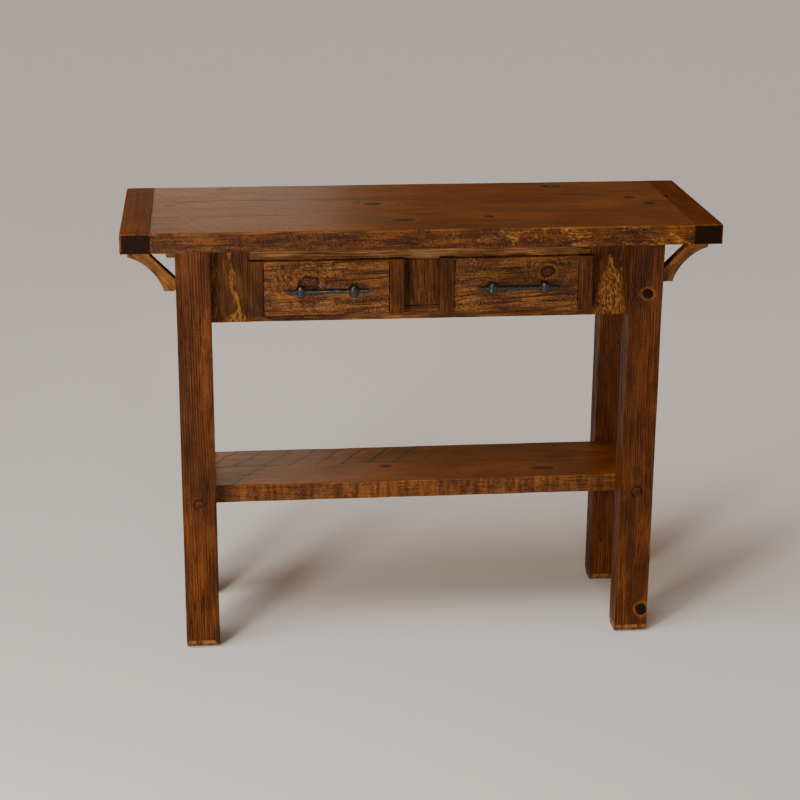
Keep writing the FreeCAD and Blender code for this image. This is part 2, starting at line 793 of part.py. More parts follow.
def drawer_face(drawer):
    board = block("panel_width", "front_thickness", "face_height",
                  "-panel_width / 2", "face_start", "-front_bottom_lap")
    tongue_y = "face_start + (front_thickness - cap_tongue_thickness) / 2"
    tongue_height = "(face_height - 2 * cap_tongue_stop)"
    tongue_z = "cap_tongue_stop - front_bottom_lap"
    tongues = block("panel_width + 2 * cap_tongue_length", "cap_tongue_thickness", tongue_height,
                    "-panel_width / 2 - cap_tongue_length", tongue_y, tongue_z)
    bores = []
    for across in ("-1", "1"):
        bores.append(rod("pull_bore", "front_thickness", "y",
                         "%s * pull_post_spacing / 2" % across, "face_start", "pull_height"))
    for x, z in front_screw_places():
        bores.append(rod("screw_diameter", "front_screw_bite", "-y", x, "-drawer_front_gap", z))
    drawer_piece(cut(fuse([board, tongues]), bores), drawer, "face_panel")
    for cap_name, side in sides.items():
        x = "-panel_width / 2 - cap_width" if side < 0 else "panel_width / 2"
        cap = block("cap_width", "front_thickness", "face_height", x, "face_start", "-front_bottom_lap")
        deep = "(cap_tongue_length + groove_slack)"
        groove_x = "-panel_width / 2 - %s" % deep if side < 0 else "panel_width / 2"
        groove = block(deep, "cap_tongue_thickness", tongue_height, groove_x, tongue_y, tongue_z)
        drawer_piece(cut(cap, [groove]), drawer, "face_cap_" + cap_name)


def drawer_box(drawer):
    for side_name, side in sides.items():
        x = "-box_width / 2" if side < 0 else "box_width / 2 - box_side_thickness"
        board = block("box_side_thickness", "box_length", "box_height",
                      x, "box_start", "drawer_running_gap")
        groove_x = "-box_inside / 2 - groove_depth" if side < 0 else "box_inside / 2"
        groove = block("groove_depth", "box_length", "bottom_groove", groove_x, "box_start", "box_floor")
        drawer_piece(cut(board, [groove]), drawer, "side_" + side_name)
    board = block("box_inside", "box_front_thickness", "box_height",
                  "-box_inside / 2", "box_start", "drawer_running_gap")
    bores = [block("box_inside", "groove_depth", "bottom_groove", "-box_inside / 2",
                   "box_front_inside - groove_depth", "box_floor")]
    for across in ("-1", "1"):
        bores.append(rod("pull_bore", "box_front_thickness", "y",
                         "%s * pull_post_spacing / 2" % across, "box_start", "pull_height"))
    for x, z in front_screw_places():
        bores.append(rod("screw_diameter", "box_front_thickness", "y", x, "box_start", z))
        bores.append(cone("screw_diameter", "screw_head_diameter", "screw_head_depth", "y",
                          x, "box_front_inside - screw_head_depth", z))
    drawer_piece(cut(board, bores), drawer, "box_front")
    back_bottom = "(box_floor + bottom_groove)"
    back = block("box_inside", "box_back_thickness", "box_height + drawer_running_gap - %s" % back_bottom)
    drawer_piece(back, drawer, "box_back", "(-box_inside / 2)",
                 "(box_end - box_back_thickness)", back_bottom)
    bottom = block("bottom_width", "box_end - bottom_start", "bottom_thickness")
    drawer_piece(bottom, drawer, "bottom", "(-bottom_width / 2)", "bottom_start", "box_floor")
    screws = []
    for x, z in front_screw_places():
        screws.append(wood_screw("(box_front_thickness + front_screw_bite)", "-y", x, "box_front_inside", z,
                                 x, "box_front_inside - screw_head_depth", z))
    drawer_piece(group(screws), drawer, "face_screws")


def drawer_pull(drawer):
    body = new_body("drawer_%s_pull_rod" % drawer)
    shaft = body.newObject("PartDesign::AdditiveCylinder", body.Name + "_shaft")
    point_along(shaft, "x")
    bind(shaft, Radius="pull_rod_diameter / 2", Height="pull_rod_length")
    place(shaft, "-pull_rod_length / 2", "pull_axis", "pull_height")
    ease(body, "Fillet", lambda at, along: abs(abs(at.x) - size("pull_rod_length") / 2) < 0.01,
         "pull_rod_rounding")
    drawer_piece(body, drawer, "pull_rod")
    posts = []
    screws = []
    for across in ("-1", "1"):
        x = "%s * pull_post_spacing / 2" % across
        knuckle = doc.addObject("Part::Ellipsoid", "knuckle")
        bind(knuckle, Radius1="knuckle_height / 2", Radius2="knuckle_width / 2",
             Radius3="knuckle_depth / 2")
        place(knuckle, x, "pull_axis", "pull_height")
        neck = rod("pull_neck_diameter", "pull_standoff", "-y", x, "face_start", "pull_height")
        foot = rod("pull_foot_diameter", "pull_foot_thickness", "-y", x, "face_start", "pull_height")
        bar = rod("pull_rod_diameter", "(2 * knuckle_width)", "x",
                  x + " - knuckle_width", "pull_axis", "pull_height")
        bore = rod("pull_screw_diameter", "pull_screw_bite", "-y", x, "face_start", "pull_height")
        posts.append(cut(fuse([knuckle, neck, foot]), [bar, bore]))
        shank = rod("pull_screw_diameter", "pull_screw_length", "-y", x, "box_front_inside", "pull_height")
        head = rod("pull_screw_head_diameter", "pull_screw_head_thickness", "y",
                   x, "box_front_inside", "pull_height")
        screws.append(fuse([shank, head]))
    drawer_piece(group(posts), drawer, "pull_posts")
    drawer_piece(group(screws), drawer, "pull_screws")


for drawer in sides:
    drawer_face(drawer)
    drawer_box(drawer)
    drawer_pull(drawer)


# ---- checking and writing ----

doc.recompute()
for thing in doc.Objects:
    if "Invalid" in thing.State or "Error" in thing.State:
        raise RuntimeError("%s failed: %s" % (thing.Label, thing.State))
for piece in pieces:
    if piece.Shape.isNull() or not piece.Shape.isValid():
        raise RuntimeError("%s has no valid shape" % piece.Label)

os.makedirs("parts", exist_ok=True)
for piece in pieces:
    piece.Shape.exportStep("parts/%s.step" % piece.Label)
print("%d parts written" % len(pieces))
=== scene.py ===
import math
import bpy
import numpy as np
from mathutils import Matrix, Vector


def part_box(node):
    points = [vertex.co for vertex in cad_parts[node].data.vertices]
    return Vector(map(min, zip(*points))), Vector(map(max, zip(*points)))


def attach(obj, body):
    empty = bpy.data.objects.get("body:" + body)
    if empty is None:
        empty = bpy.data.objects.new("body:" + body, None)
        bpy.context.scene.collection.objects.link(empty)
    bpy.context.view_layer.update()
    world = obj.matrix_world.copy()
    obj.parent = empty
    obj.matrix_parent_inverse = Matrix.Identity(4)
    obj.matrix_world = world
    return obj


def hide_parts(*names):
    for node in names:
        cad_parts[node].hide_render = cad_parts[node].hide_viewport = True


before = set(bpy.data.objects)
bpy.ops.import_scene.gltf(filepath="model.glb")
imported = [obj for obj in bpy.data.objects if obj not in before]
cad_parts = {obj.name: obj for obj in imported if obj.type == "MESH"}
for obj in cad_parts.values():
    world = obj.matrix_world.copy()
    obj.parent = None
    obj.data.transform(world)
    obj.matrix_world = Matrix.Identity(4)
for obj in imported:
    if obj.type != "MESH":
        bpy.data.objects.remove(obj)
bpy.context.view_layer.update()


# picking, as with a mouse

def clearSelection():
    for thing in bpy.context.selected_objects:
        thing.select_set(False)


def pickOnly(piece):
    clearSelection()
    piece.select_set(True)
    bpy.context.view_layer.objects.active = piece


def readVectors(items, name):
    values = np.empty(len(items) * 3)
    items.foreach_get(name, values)
    return values.reshape(-1, 3)


def meshPoints(piece):
    return readVectors(piece.data.vertices, "co")


def meshNormals(piece):
    return readVectors(piece.data.vertex_normals, "vector")


def edgeEnds(piece):
    points = meshPoints(piece)
    edges = piece.data.edges
    pairs = np.empty(len(edges) * 2, dtype=np.int32)
    edges.foreach_get("vertices", pairs)
    return points[pairs[0::2]], points[pairs[1::2]]


def openWithEdges(piece, chosen):
    mesh = piece.data
    mesh.vertices.foreach_set("select", np.zeros(len(mesh.vertices), dtype=bool))
    mesh.polygons.foreach_set("select", np.zeros(len(mesh.polygons), dtype=bool))
    mesh.edges.foreach_set("select", chosen)
    bpy.context.tool_settings.mesh_select_mode = (False, True, False)
    bpy.ops.object.mode_set(mode="EDIT")


def closeEdit():
    bpy.ops.object.mode_set(mode="OBJECT")


def settle(piece):
    pickOnly(piece)
    bpy.ops.object.transform_apply(location=True, rotation=True, scale=True)


def useModifier(piece, kind, **settings):
    change = piece.modifiers.new(kind.lower(), kind)
    for key, value in settings.items():
        setattr(change, key, value)
    pickOnly(piece)
    bpy.ops.object.modifier_apply(modifier=change.name)


def addBlock(name, low, high):
    clearSelection()
    bpy.ops.mesh.primitive_cube_add(size=1, location=(low + high) / 2, scale=high - low)
    block = bpy.context.object
    block.name = name
    block.data.name = name
    settle(block)
    return block


def addRound(radius, depth, sides, place, turn=(math.pi / 2, 0, 0)):
    clearSelection()
    bpy.ops.mesh.primitive_cylinder_add(radius=radius, depth=depth, vertices=sides, location=place,
                                        rotation=turn)
    made = bpy.context.object
    settle(made)
    return made


def cutAway(piece, cutter):
    useModifier(piece, "BOOLEAN", operation="DIFFERENCE", object=cutter, solver="EXACT")
    bpy.data.objects.remove(cutter)


def joinAll(pieces):
    clearSelection()
    for piece in pieces:
        piece.select_set(True)
    bpy.context.view_layer.objects.active = pieces[0]
    bpy.ops.object.join()
    return pieces[0]


# relief that is carved into the meshes

reliefSettings = {
    "fibre": dict(kind="CLOUDS", noise_type="HARD_NOISE", noise_scale=1.0, noise_depth=2),
    "sway": dict(kind="CLOUDS", noise_type="SOFT_NOISE", noise_scale=1.0, noise_depth=1),
    "chips": dict(kind="CLOUDS", noise_type="HARD_NOISE", noise_scale=1.0, noise_depth=3),
    "hammer": dict(kind="VORONOI", noise_scale=1.0, noise_intensity=1.2),
}


def makeReliefs():
    made = {}
    for name, settings in reliefSettings.items():
        relief = bpy.data.textures.new(name, settings["kind"])
        for key, value in settings.items():
            if key != "kind":
                setattr(relief, key, value)
        made[name] = relief
    return made


reliefs = makeReliefs()


# Cut a relief into a piece; spread is the size of its marks along X, Y and Z.
def carve(piece, relief, spread, depth, shift=(0, 0, 0), turn=(0, 0, 0)):
    bpy.ops.object.empty_add(location=shift, rotation=turn)
    guide = bpy.context.object
    guide.scale = spread
    bpy.context.view_layer.update()
    useModifier(piece, "DISPLACE", texture=reliefs[relief], texture_coords="OBJECT",
                texture_coords_object=guide, strength=depth, mid_level=1.0)
    bpy.data.objects.remove(guide)


# boards

# Which places lie at the sides named, such as -y+z for the front and top.
def sideTest(words, middle, low, high):
    test = np.ones(len(middle), dtype=bool)
    for index in range(0, len(words), 2):
        axis = "xyz".index(words[index + 1])
        half = (high[axis] - low[axis]) / 2
        off = (middle[:, axis] - (high[axis] + low[axis]) / 2) / half
        test &= off > 0.9 if words[index] == "+" else off < -0.9
    return test


gridPlan = {"rounds": 4, "mostCuts": 12, "straight": 0.98, "slack": 1.45}


# Cut a piece into cells. The longest edge says how often to cut: exact counts only the edges that
# are cut, which gives the sizes asked for, and otherwise every edge counts and cells get finer.
def cutGrid(board, cells, exact=False):
    for axis in range(3):
        for again in range(gridPlan["rounds"]):
            start, end = edgeEnds(board)
            run = end - start
            length = np.linalg.norm(run, axis=1)
            alongAxis = np.abs(run[:, axis]) > gridPlan["straight"] * length
            chosen = alongAxis & (length > gridPlan["slack"] * cells[axis])
            if not chosen.any():
                break
            longest = length[chosen].max() if exact else length.max()
            cuts = int(min(gridPlan["mostCuts"], max(1, round(longest / cells[axis]) - 1)))
            openWithEdges(board, chosen)
            bpy.ops.mesh.subdivide(number_cuts=cuts)
            closeEdit()


# A board with rounded edges, cut into cells; wider lists (sides, radius).
def makeBoard(name, low, high, cells, arris=0.001, wider=(), exact=False):
    low, high = np.array(low), np.array(high)
    board = addBlock(name, low, high)
    start, end = edgeEnds(board)
    middle = (start + end) / 2
    radius = np.full(len(middle), arris)
    for words, wide in wider:
        radius[sideTest(words, middle, low, high)] = wide
    weights = board.data.attributes.new("bevel_weight_edge", "FLOAT", "EDGE")
    weights.data.foreach_set("value", radius / radius.max())
    useModifier(board, "BEVEL", limit_method="WEIGHT", width=radius.max(), segments=3)
    cutGrid(board, cells, exact)
    return board


def keepNumber(piece, name, values):
    layer = piece.data.attributes.new(name, "FLOAT", "POINT")
    layer.data.foreach_set("value", values)


# Keep how deep a piece is carved, as a share of its deepest place, and shade it smooth.
def keepDepth(piece, before, normals):
    depth = ((before - meshPoints(piece)) * normals).sum(axis=1)
    keepNumber(piece, "carved", depth / max(depth.max(), 1e-6))
    pickOnly(piece)
    bpy.ops.object.shade_smooth()


# how far a normal leans on an edge, and how much more or less still counts as edge
edgeSense = {"lean": 0.7, "plateReach": 0.4, "boardReach": 0.28}


# Carve each mark into a piece and keep how deep it went and where its edges are.
def roughen(piece, marks, plate=False):
    before = meshPoints(piece)
    normals = meshNormals(piece)
    for mark in marks:
        carve(piece, *mark)
    keepDepth(piece, before, normals)
    if plate:  # the edges around the two broad faces
        off = np.abs(np.abs(normals[:, 1]) - edgeSense["lean"]) / edgeSense["plateReach"]
    else:
        off = (np.abs(normals).max(axis=1) - edgeSense["lean"]) / edgeSense["boardReach"]
    keepNumber(piece, "arris", 1 - np.clip(off, 0, 1))


frontFacing = -0.6  # a face whose normal leans further forwards than this is a front face


# A second finish, on the faces that look to the front.
def dressFront(piece, wood):
    piece.data.materials.append(wood)
    faces = piece.data.polygons
    toFront = readVectors(faces, "normal")[:, 1] < frontFacing
    faces.foreach_set("material_index", toFront.astype(np.int32))


# Give a finished piece its material, hang it on its body and hide the model parts it takes the place of.
def dress(piece, wood, body, slot, *nodes):
    piece.data.materials.clear()
    piece.data.materials.append(wood)
    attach(piece, body)
    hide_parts(*nodes)


# material helpers

def newMaterial(name):
    made = bpy.data.materials.new(name)
    made.use_nodes = True
    return made, made.node_tree.nodes["Principled BSDF"]


def addNode(tree, kind, inputs=None, **settings):
    made = tree.nodes.new(kind)
    for key, value in settings.items():
        setattr(made, key, value)
    for key, value in (inputs or {}).items():
        if isinstance(value, bpy.types.NodeSocket):
            tree.links.new(value, made.inputs[key])
        else:
            made.inputs[key].default_value = value
    return made


def maths(tree, operation, first, second=0.0, clamp=False):
    return addNode(tree, "ShaderNodeMath", {0: first, 1: second},
                   operation=operation, use_clamp=clamp).outputs[0]


def times(tree, first, second):
    return maths(tree, "MULTIPLY", first, second)


def plus(tree, first, second):
    return maths(tree, "ADD", first, second)


def minus(tree, first, second, clamp=False):
    return maths(tree, "SUBTRACT", first, second, clamp)


def part(tree, vector, axis):
    return addNode(tree, "ShaderNodeSeparateXYZ", {0: vector}).outputs[axis]


def keptNumber(tree, name):
    return addNode(tree, "ShaderNodeAttribute", attribute_name=name).outputs["Fac"]


# A value between low and high, spread out from start to end.
def spread(tree, value, low, high, start=0.0, end=1.0, smooth=True):
    kind = "SMOOTHSTEP" if smooth else "LINEAR"
    return addNode(tree, "ShaderNodeMapRange", {0: value, 1: low, 2: high, 3: start, 4: end},
                   interpolation_type=kind).outputs[0]


# a place turned first, then stretched and shifted
def stretched(tree, place, stretch, shift=(0, 0, 0), turn=(0, 0, 0)):
    if any(turn):
        place = addNode(tree, "ShaderNodeMapping", {"Vector": place, "Rotation": turn}).outputs[0]
    return addNode(tree, "ShaderNodeMapping", {"Vector": place, "Location": shift,
                                               "Scale": stretch}).outputs[0]


def noise(tree, place, scale, detail=2.0, rough=0.5, colour=False):
    made = addNode(tree, "ShaderNodeTexNoise", {"Vector": place, "Scale": scale, "Detail": detail,
                                                "Roughness": rough})
    return made.outputs["Color" if colour else "Fac"]


# noise drawn out by a stretch
def streaks(tree, place, stretch, detail, rough=0.5, colour=False):
    return noise(tree, stretched(tree, place, stretch), 1.0, detail, rough, colour)


def mixColour(tree, amount, first, second):
    made = addNode(tree, "ShaderNodeMix", data_type="RGBA", clamp_result=True)
    for socket, value in (("Factor_Float", amount), ("A_Color", first), ("B_Color", second)):
        spot = next(one for one in made.inputs if one.identifier == socket)
        if isinstance(value, bpy.types.NodeSocket):
            tree.links.new(value, spot)
        elif socket == "Factor_Float":
            spot.default_value = value
        else:
            spot.default_value = (*value, 1.0)
    return next(one for one in made.outputs if one.identifier == "Result_Color")


def ramp(tree, value, stops):
    made = addNode(tree, "ShaderNodeValToRGB", {0: value})
    line = made.color_ramp.elements
    while len(line) < len(stops):
        line.new(0.5)
    for element, (place, colour) in zip(line, stops):
        element.position = place
        element.color = (*colour, 1.0)
    return made.outputs[0]


grainTurns = {
    "x": (0, 0, 0),
    "y": (0, 0, -math.pi / 2),
    "z": (0, math.pi / 2, 0),
}


def vectorMaths(tree, operation, first, second, output=0):
    return addNode(tree, "ShaderNodeVectorMath", {0: first, 1: second}, operation=operation).outputs[output]


# how far each place is from a knot's middle, as a share of the knot's size
def knotDistance(tree, place, spot, radii):
    off = vectorMaths(tree, "SUBTRACT", place, spot)
    scaled = vectorMaths(tree, "MULTIPLY", off, tuple(1 / radius for radius in radii))
    away = vectorMaths(tree, "LENGTH", scaled, (0, 0, 0), "Value")
    wobble = spread(tree, noise(tree, place, 75.0, 2.0), 0.3, 0.7, -0.2, 0.2, False)
    return plus(tree, away, wobble)


# straight cuts left by the saw: turn about the face, pitch, width, strength, reach along X
def sawCuts(tree, place, turn, pitch, width, strength, reach, seed):
    across = stretched(tree, place, (1 / pitch, 1, 1), shift=(seed, 0, 0), turn=turn)
    waver = spread(tree, noise(tree, place, 9.0, 2.0), 0.2, 0.8, -0.16, 0.16, False)
    off = maths(tree, "FRACT", plus(tree, part(tree, across, 0), waver))
    off = maths(tree, "ABSOLUTE", minus(tree, off, 0.5))
    cut = spread(tree, off, 0.0, width / pitch, 1.0, 0.0)
    breaks = spread(tree, streaks(tree, across, (0.6, 14, 14), 2.0), 0.27, 0.43)
    inReach = spread(tree, part(tree, place, 0), reach[0], reach[1], 1.0, 0.0)
    return times(tree, times(tree, times(tree, cut, breaks), inReach), strength)


# a pale figure in upright grain: middle, lean, half width, widening downwards, top
def flame(tree, place, middle, lean, width, widening, top):
    down = minus(tree, top, part(tree, place, 2))
    side = minus(tree, part(tree, place, 0), middle)
    side = plus(tree, side, times(tree, down, lean))
    wobble = streaks(tree, place, (40, 40, 22), 3.0)
    side = plus(tree, side, spread(tree, wobble, 0.3, 0.7, -0.006, 0.006, False))
    wide = plus(tree, times(tree, maths(tree, "MAXIMUM", down, 0.0), widening), width)
    share = maths(tree, "DIVIDE", maths(tree, "ABSOLUTE", side), wide)
    started = spread(tree, down, 0.0, 0.012)
    return times(tree, spread(tree, share, 0.7, 1.2, 1.0, 0.0), started)


soleBand = (0.0165, 0.0185)  # the heights between which the pale band of a foot ends, painted for wear and for light on its chamfers


# Stained pine. pith: where the middle of the rings runs, in grain axes. knots: (place, radii,
# darkness). saw: what sawCuts takes. flames: what flame takes. gilt: where pale chips show.
def stainedWood(name, look, along="x", pith=(0, 0.02, -0.07), tilt=(0, 0.01, 0.02), knots=(),
                saw=None, flames=(), gilt=None, seed=0.0):
    wood, skin = newMaterial(name)
    tree = wood.node_tree
    place = addNode(tree, "ShaderNodeTexCoord").outputs["Object"]
    lined = stretched(tree, place, (1, 1, 1), turn=grainTurns[along])
    turned = stretched(tree, lined, (1, 1, 1), shift=(seed, -pith[1], -pith[2]), turn=tilt)
    # rings, bent by a slow wander and by the knots
    drift = streaks(tree, turned, (2.4, 14, 14), 2.0, 0.5, colour=True)
    drift = vectorMaths(tree, "SUBTRACT", drift, (0.5, 0.5, 0.5))
    drift = vectorMaths(tree, "MULTIPLY", drift, (0, look["wander"], look["wander"]))
    bent = vectorMaths(tree, "ADD", turned, drift)
    reach = vectorMaths(tree, "LENGTH", vectorMaths(tree, "MULTIPLY", bent, (0, 1, 1)), (0, 0, 0), "Value")
    eyes = [(knotDistance(tree, place, spot, radii), radii, darkness) for spot, radii, darkness in knots]
    for away, radii, darkness in eyes:
        push = spread(tree, away, 0.6, 4.6, min(radii) * 2.2, 0.0)
        reach = plus(tree, reach, push)
    late = ramp(tree, maths(tree, "FRACT", maths(tree, "DIVIDE", reach, look["ring"])),
                [(0.0, (0, 0, 0)), (look["lateStart"], (0.05,) * 3), (0.84, (1, 1, 1)),
                 (0.94, (0.85,) * 3), (1.0, (0, 0, 0))])
    fade = spread(tree, streaks(tree, turned, (5, 70, 70), 3.0), 0.36, 0.62, 0.1, 1.0)
    late = times(tree, late, fade)
    # fibres, dark furrows that run with them, and fine pores
    fine = streaks(tree, bent, (11, 520, 520), 3.0, 0.7)
    slow = streaks(tree, bent, (3.0, look["furrow"], look["furrow"]), 1.0, 0.5)
    nearLine = maths(tree, "ABSOLUTE", minus(tree, slow, 0.5))
    furrow = spread(tree, nearLine, 0.0, look["furrowWidth"], 1.0, 0.0)
    breaks = spread(tree, streaks(tree, turned, (9, 70, 70), 2.0), 0.36, 0.58)
    furrow = times(tree, furrow, breaks)
    # blotches where the stain took more or less
    blotch = spread(tree, streaks(tree, turned, look["blotch"], 4.0, 0.62), 0.34, 0.68)
    grit = streaks(tree, turned, (170, 420, 420), 3.0, 0.7)
    tone = times(tree, spread(tree, fine, 0.3, 0.7), 0.42)
    tone = plus(tree, tone, times(tree, blotch, 0.42))
    tone = plus(tree, tone, times(tree, spread(tree, grit, 0.3, 0.7), look["speckle"]))
    colour = ramp(tree, tone, [(0.1, look["dark"]), (0.48, look["middle"]), (0.9, look["light"])])
    colour = mixColour(tree, times(tree, late, look["lateDark"]), colour, look["lateColour"])
    height = times(tree, late, look["lateHeight"])
    height = plus(tree, height, times(tree, fine, 0.5))
    height = minus(tree, height, times(tree, furrow, 0.9))
    # pale figure and pale chips, broken up by dark specks
    specks = streaks(tree, turned, (110, 300, 300), 2.0, 0.6)
    specks = spread(tree, specks, 0.44, 0.54)
    for middle, lean, width, widening, top, amount in flames:
        pale = flame(tree, place, middle, lean, width, widening, top)
        pale = times(tree, pale, spread(tree, specks, 0.0, 1.0, amount, amount * 0.12, False))
        colour = mixColour(tree, pale, colour, look["gold"])
    if gilt:
        reachStart, reachEnd, amount = gilt
        patch = streaks(tree, place, (22, 30, 40), 5.0, 0.7)
        patch = spread(tree, patch, 0.5, 0.62)
        patch = times(tree, patch, spread(tree, part(tree, place, 0), reachStart, reachEnd))
        patch = times(tree, patch, spread(tree, specks, 0.0, 1.0, amount, amount * 0.15, False))
        colour = mixColour(tree, patch, colour, look["gold"])
    colour = mixColour(tree, times(tree, furrow, look["furrowDark"]), colour, look["deep"])
    if saw:
        cuts = sawCuts(tree, place, *saw, seed)
        colour = mixColour(tree, cuts, colour, look["deep"])
        height = minus(tree, height, times(tree, cuts, 1.5))
    # knots
    for away, radii, darkness in eyes:
        halo = spread(tree, away, 1.1, 2.0, 0.75, 0.0)
        colour = mixColour(tree, halo, colour, look["halo"])
        inside = spread(tree, away, 0.85, 1.0, 1.0, 0.0)
        rim = times(tree, spread(tree, away, 0.7, 0.97), spread(tree, away, 1.0, 1.3, 1.0, 0.0))
        rings = maths(tree, "SINE", times(tree, away, 17.0))
        heart = mixColour(tree, spread(tree, rings, -1.0, 1.0, 0.0, 0.5), look["knot"], look["deep"])
        heart = mixColour(tree, darkness, heart, look["deep"])
        colour = mixColour(tree, inside, colour, heart)
        colour = mixColour(tree, times(tree, rim, 0.9), colour, look["deep"])
        height = plus(tree, height, times(tree, inside, 0.4))
        height = minus(tree, height, rim)
    # darker where the surface is carved deeper, pale edges for wear and painted highlight, ends that drank
    # more stain
    carved = keptNumber(tree, "carved")
    colour = mixColour(tree, spread(tree, carved, 0.25, 0.95, 0.0, look["hollowDark"]), colour, look["deep"])
    arris = keptNumber(tree, "arris")
    if along == "z":  # a foot is painted pale all round: wear, and painted light on its chamfers
        sole = spread(tree, part(tree, place, 2), *soleBand, look["soleWearAndLight"], 0.0)
        arris = maths(tree, "MAXIMUM", arris, sole)
    rubbed = spread(tree, streaks(tree, turned, (16, 90, 90), 3.0), 0.38, 0.6)
    # pale colour on the edges: wear, and painted highlight where light catches the arris
    wornAndHighlit = times(tree, times(tree, arris, rubbed), look["wearAndHighlight"])
    colour = mixColour(tree, wornAndHighlit, colour, look["wornAndHighlit"])
    facing = addNode(tree, "ShaderNodeTexCoord").outputs["Normal"]
    lengthwise = maths(tree, "ABSOLUTE", part(tree, facing, "xyz".index(along)))
    endGrain = spread(tree, lengthwise, 0.75, 0.95)
    colour = mixColour(tree, times(tree, endGrain, look["endDark"]), colour, look["deep"])
    tree.links.new(colour, skin.inputs["Base Color"])
    gloss = spread(tree, grit, 0.3, 0.7, look["gloss"][0], look["gloss"][1], False)
    gloss = plus(tree, gloss, times(tree, furrow, 0.15))
    gloss = minus(tree, gloss, times(tree, arris, look["rubbed"]), clamp=True)
    tree.links.new(gloss, skin.inputs["Roughness"])
    # the hewn surface
    hewn = noise(tree, stretched(tree, turned, look["hewnStretch"], turn=look["hewnTurn"]), 1.0, 2.5, 0.6)
    hewn = maths(tree, "ABSOLUTE", minus(tree, hewn, 0.5))
    beds = spread(tree, streaks(tree, turned, (9, 34, 34), 2.0), 0.42, 0.58, 0.15, 1.0)
    height = plus(tree, height, times(tree, times(tree, hewn, beds), look["hewn"]))
    height = plus(tree, height, times(tree, grit, 0.25))
    bump = addNode(tree, "ShaderNodeBump", {"Height": height, "Strength": 1.0,
                                            "Distance": look["bump"]})
    tree.links.new(bump.outputs[0], skin.inputs["Normal"])
    skin.inputs["Specular IOR Level"].default_value = look["shine"]
    skin.inputs["Coat Weight"].default_value = look["coat"]
    skin.inputs["Coat Roughness"].default_value = look["coatRough"]
    return wood


# The rough sawn legs come first; each later finish says only what differs.
legLook = {
    "ring": 0.0054, "wander": 0.017, "lateStart": 0.5, "furrow": 170, "furrowWidth": 0.022,
    "blotch": (9, 26, 26), "bump": 0.0009, "hewn": 1.6, "hewnStretch": (120, 260, 260),
    "hewnTurn": (0, 0, 0), "speckle": 0.2,
    "dark": (0.052, 0.0140, 0.0016), "middle": (0.127, 0.0320, 0.0042), "light": (0.230, 0.070, 0.0110),
    "lateColour": (0.018, 0.0052, 0.0012), "lateDark": 0.85, "lateHeight": -0.8,
    "deep": (0.0085, 0.0030, 0.0010), "furrowDark": 0.85, "halo": (0.34, 0.115, 0.017),
    "knot": (0.050, 0.012, 0.002), "gold": (0.40, 0.165, 0.030), "hollowDark": 0.5,
    "wornAndHighlit": (0.36, 0.150, 0.034), "wearAndHighlight": 0.7,
    "endDark": 0.55, "gloss": (0.40, 0.6), "coat": 0.0, "coatRough": 0.2, "shine": 0.14,
    "rubbed": 0.15, "soleWearAndLight": 1.0,
}
topLook = dict(legLook, **{
    "ring": 0.0085, "wander": 0.022, "lateStart": 0.35, "lateDark": 0.35, "lateHeight": 0.2,
    "furrow": 70, "furrowWidth": 0.010, "furrowDark": 0.4, "bump": 0.00022, "hewn": 0.6,
    "blotch": (4, 12, 12), "hollowDark": 0.3, "speckle": 0.12,
    "dark": (0.105, 0.0250, 0.0020), "middle": (0.170, 0.0430, 0.0036), "light": (0.250, 0.0740, 0.0080),
    "gloss": (0.36, 0.46), "coat": 0.06, "coatRough": 0.3, "wearAndHighlight": 0.6, "endDark": 0.97,
    "shine": 0.12, "rubbed": 0.2, "halo": (0.23, 0.070, 0.008), "knot": (0.070, 0.016, 0.0018),
})
endBoardLook = dict(topLook, **{
    "dark": (0.080, 0.0180, 0.0014), "middle": (0.140, 0.0330, 0.0026), "light": (0.205, 0.0570, 0.0055),
    "gloss": (0.52, 0.62), "coat": 0.0, "shine": 0.08,
})
faceLook = dict(legLook, **{
    "ring": 0.0075, "wander": 0.020, "lateDark": 0.75, "furrow": 80, "furrowDark": 0.6, "bump": 0.0019,
    "hewn": 4.0, "hewnStretch": (85, 150, 150), "hewnTurn": (0, 0.5, 0), "gloss": (0.13, 0.34),
    "speckle": 0.3, "shine": 0.25, "knot": (0.21, 0.046, 0.004),
    "dark": (0.048, 0.0125, 0.0012), "middle": (0.150, 0.0430, 0.0040), "light": (0.38, 0.145, 0.020),
})
edgeLook = dict(topLook, **{
    "bump": 0.0019, "hewn": 4.2, "hewnStretch": (70, 140, 140), "hewnTurn": (0, -0.75, 0), "shine": 0.2,
    "lateDark": 0.5, "speckle": 0.35, "furrowDark": 0.7, "blotch": (14, 40, 40), "wearAndHighlight": 0.85,
    "dark": (0.014, 0.0038, 0.0006), "middle": (0.062, 0.0155, 0.0014), "light": (0.19, 0.0600, 0.0060),
    "gloss": (0.14, 0.36), "coat": 0.0,
})
blockLook = dict(legLook, **{
    "ring": 0.0062, "wander": 0.024, "lateDark": 0.6, "blotch": (14, 30, 30),
    "dark": (0.034, 0.0090, 0.0013), "middle": (0.092, 0.0260, 0.0034), "light": (0.19, 0.0640, 0.0090),
})
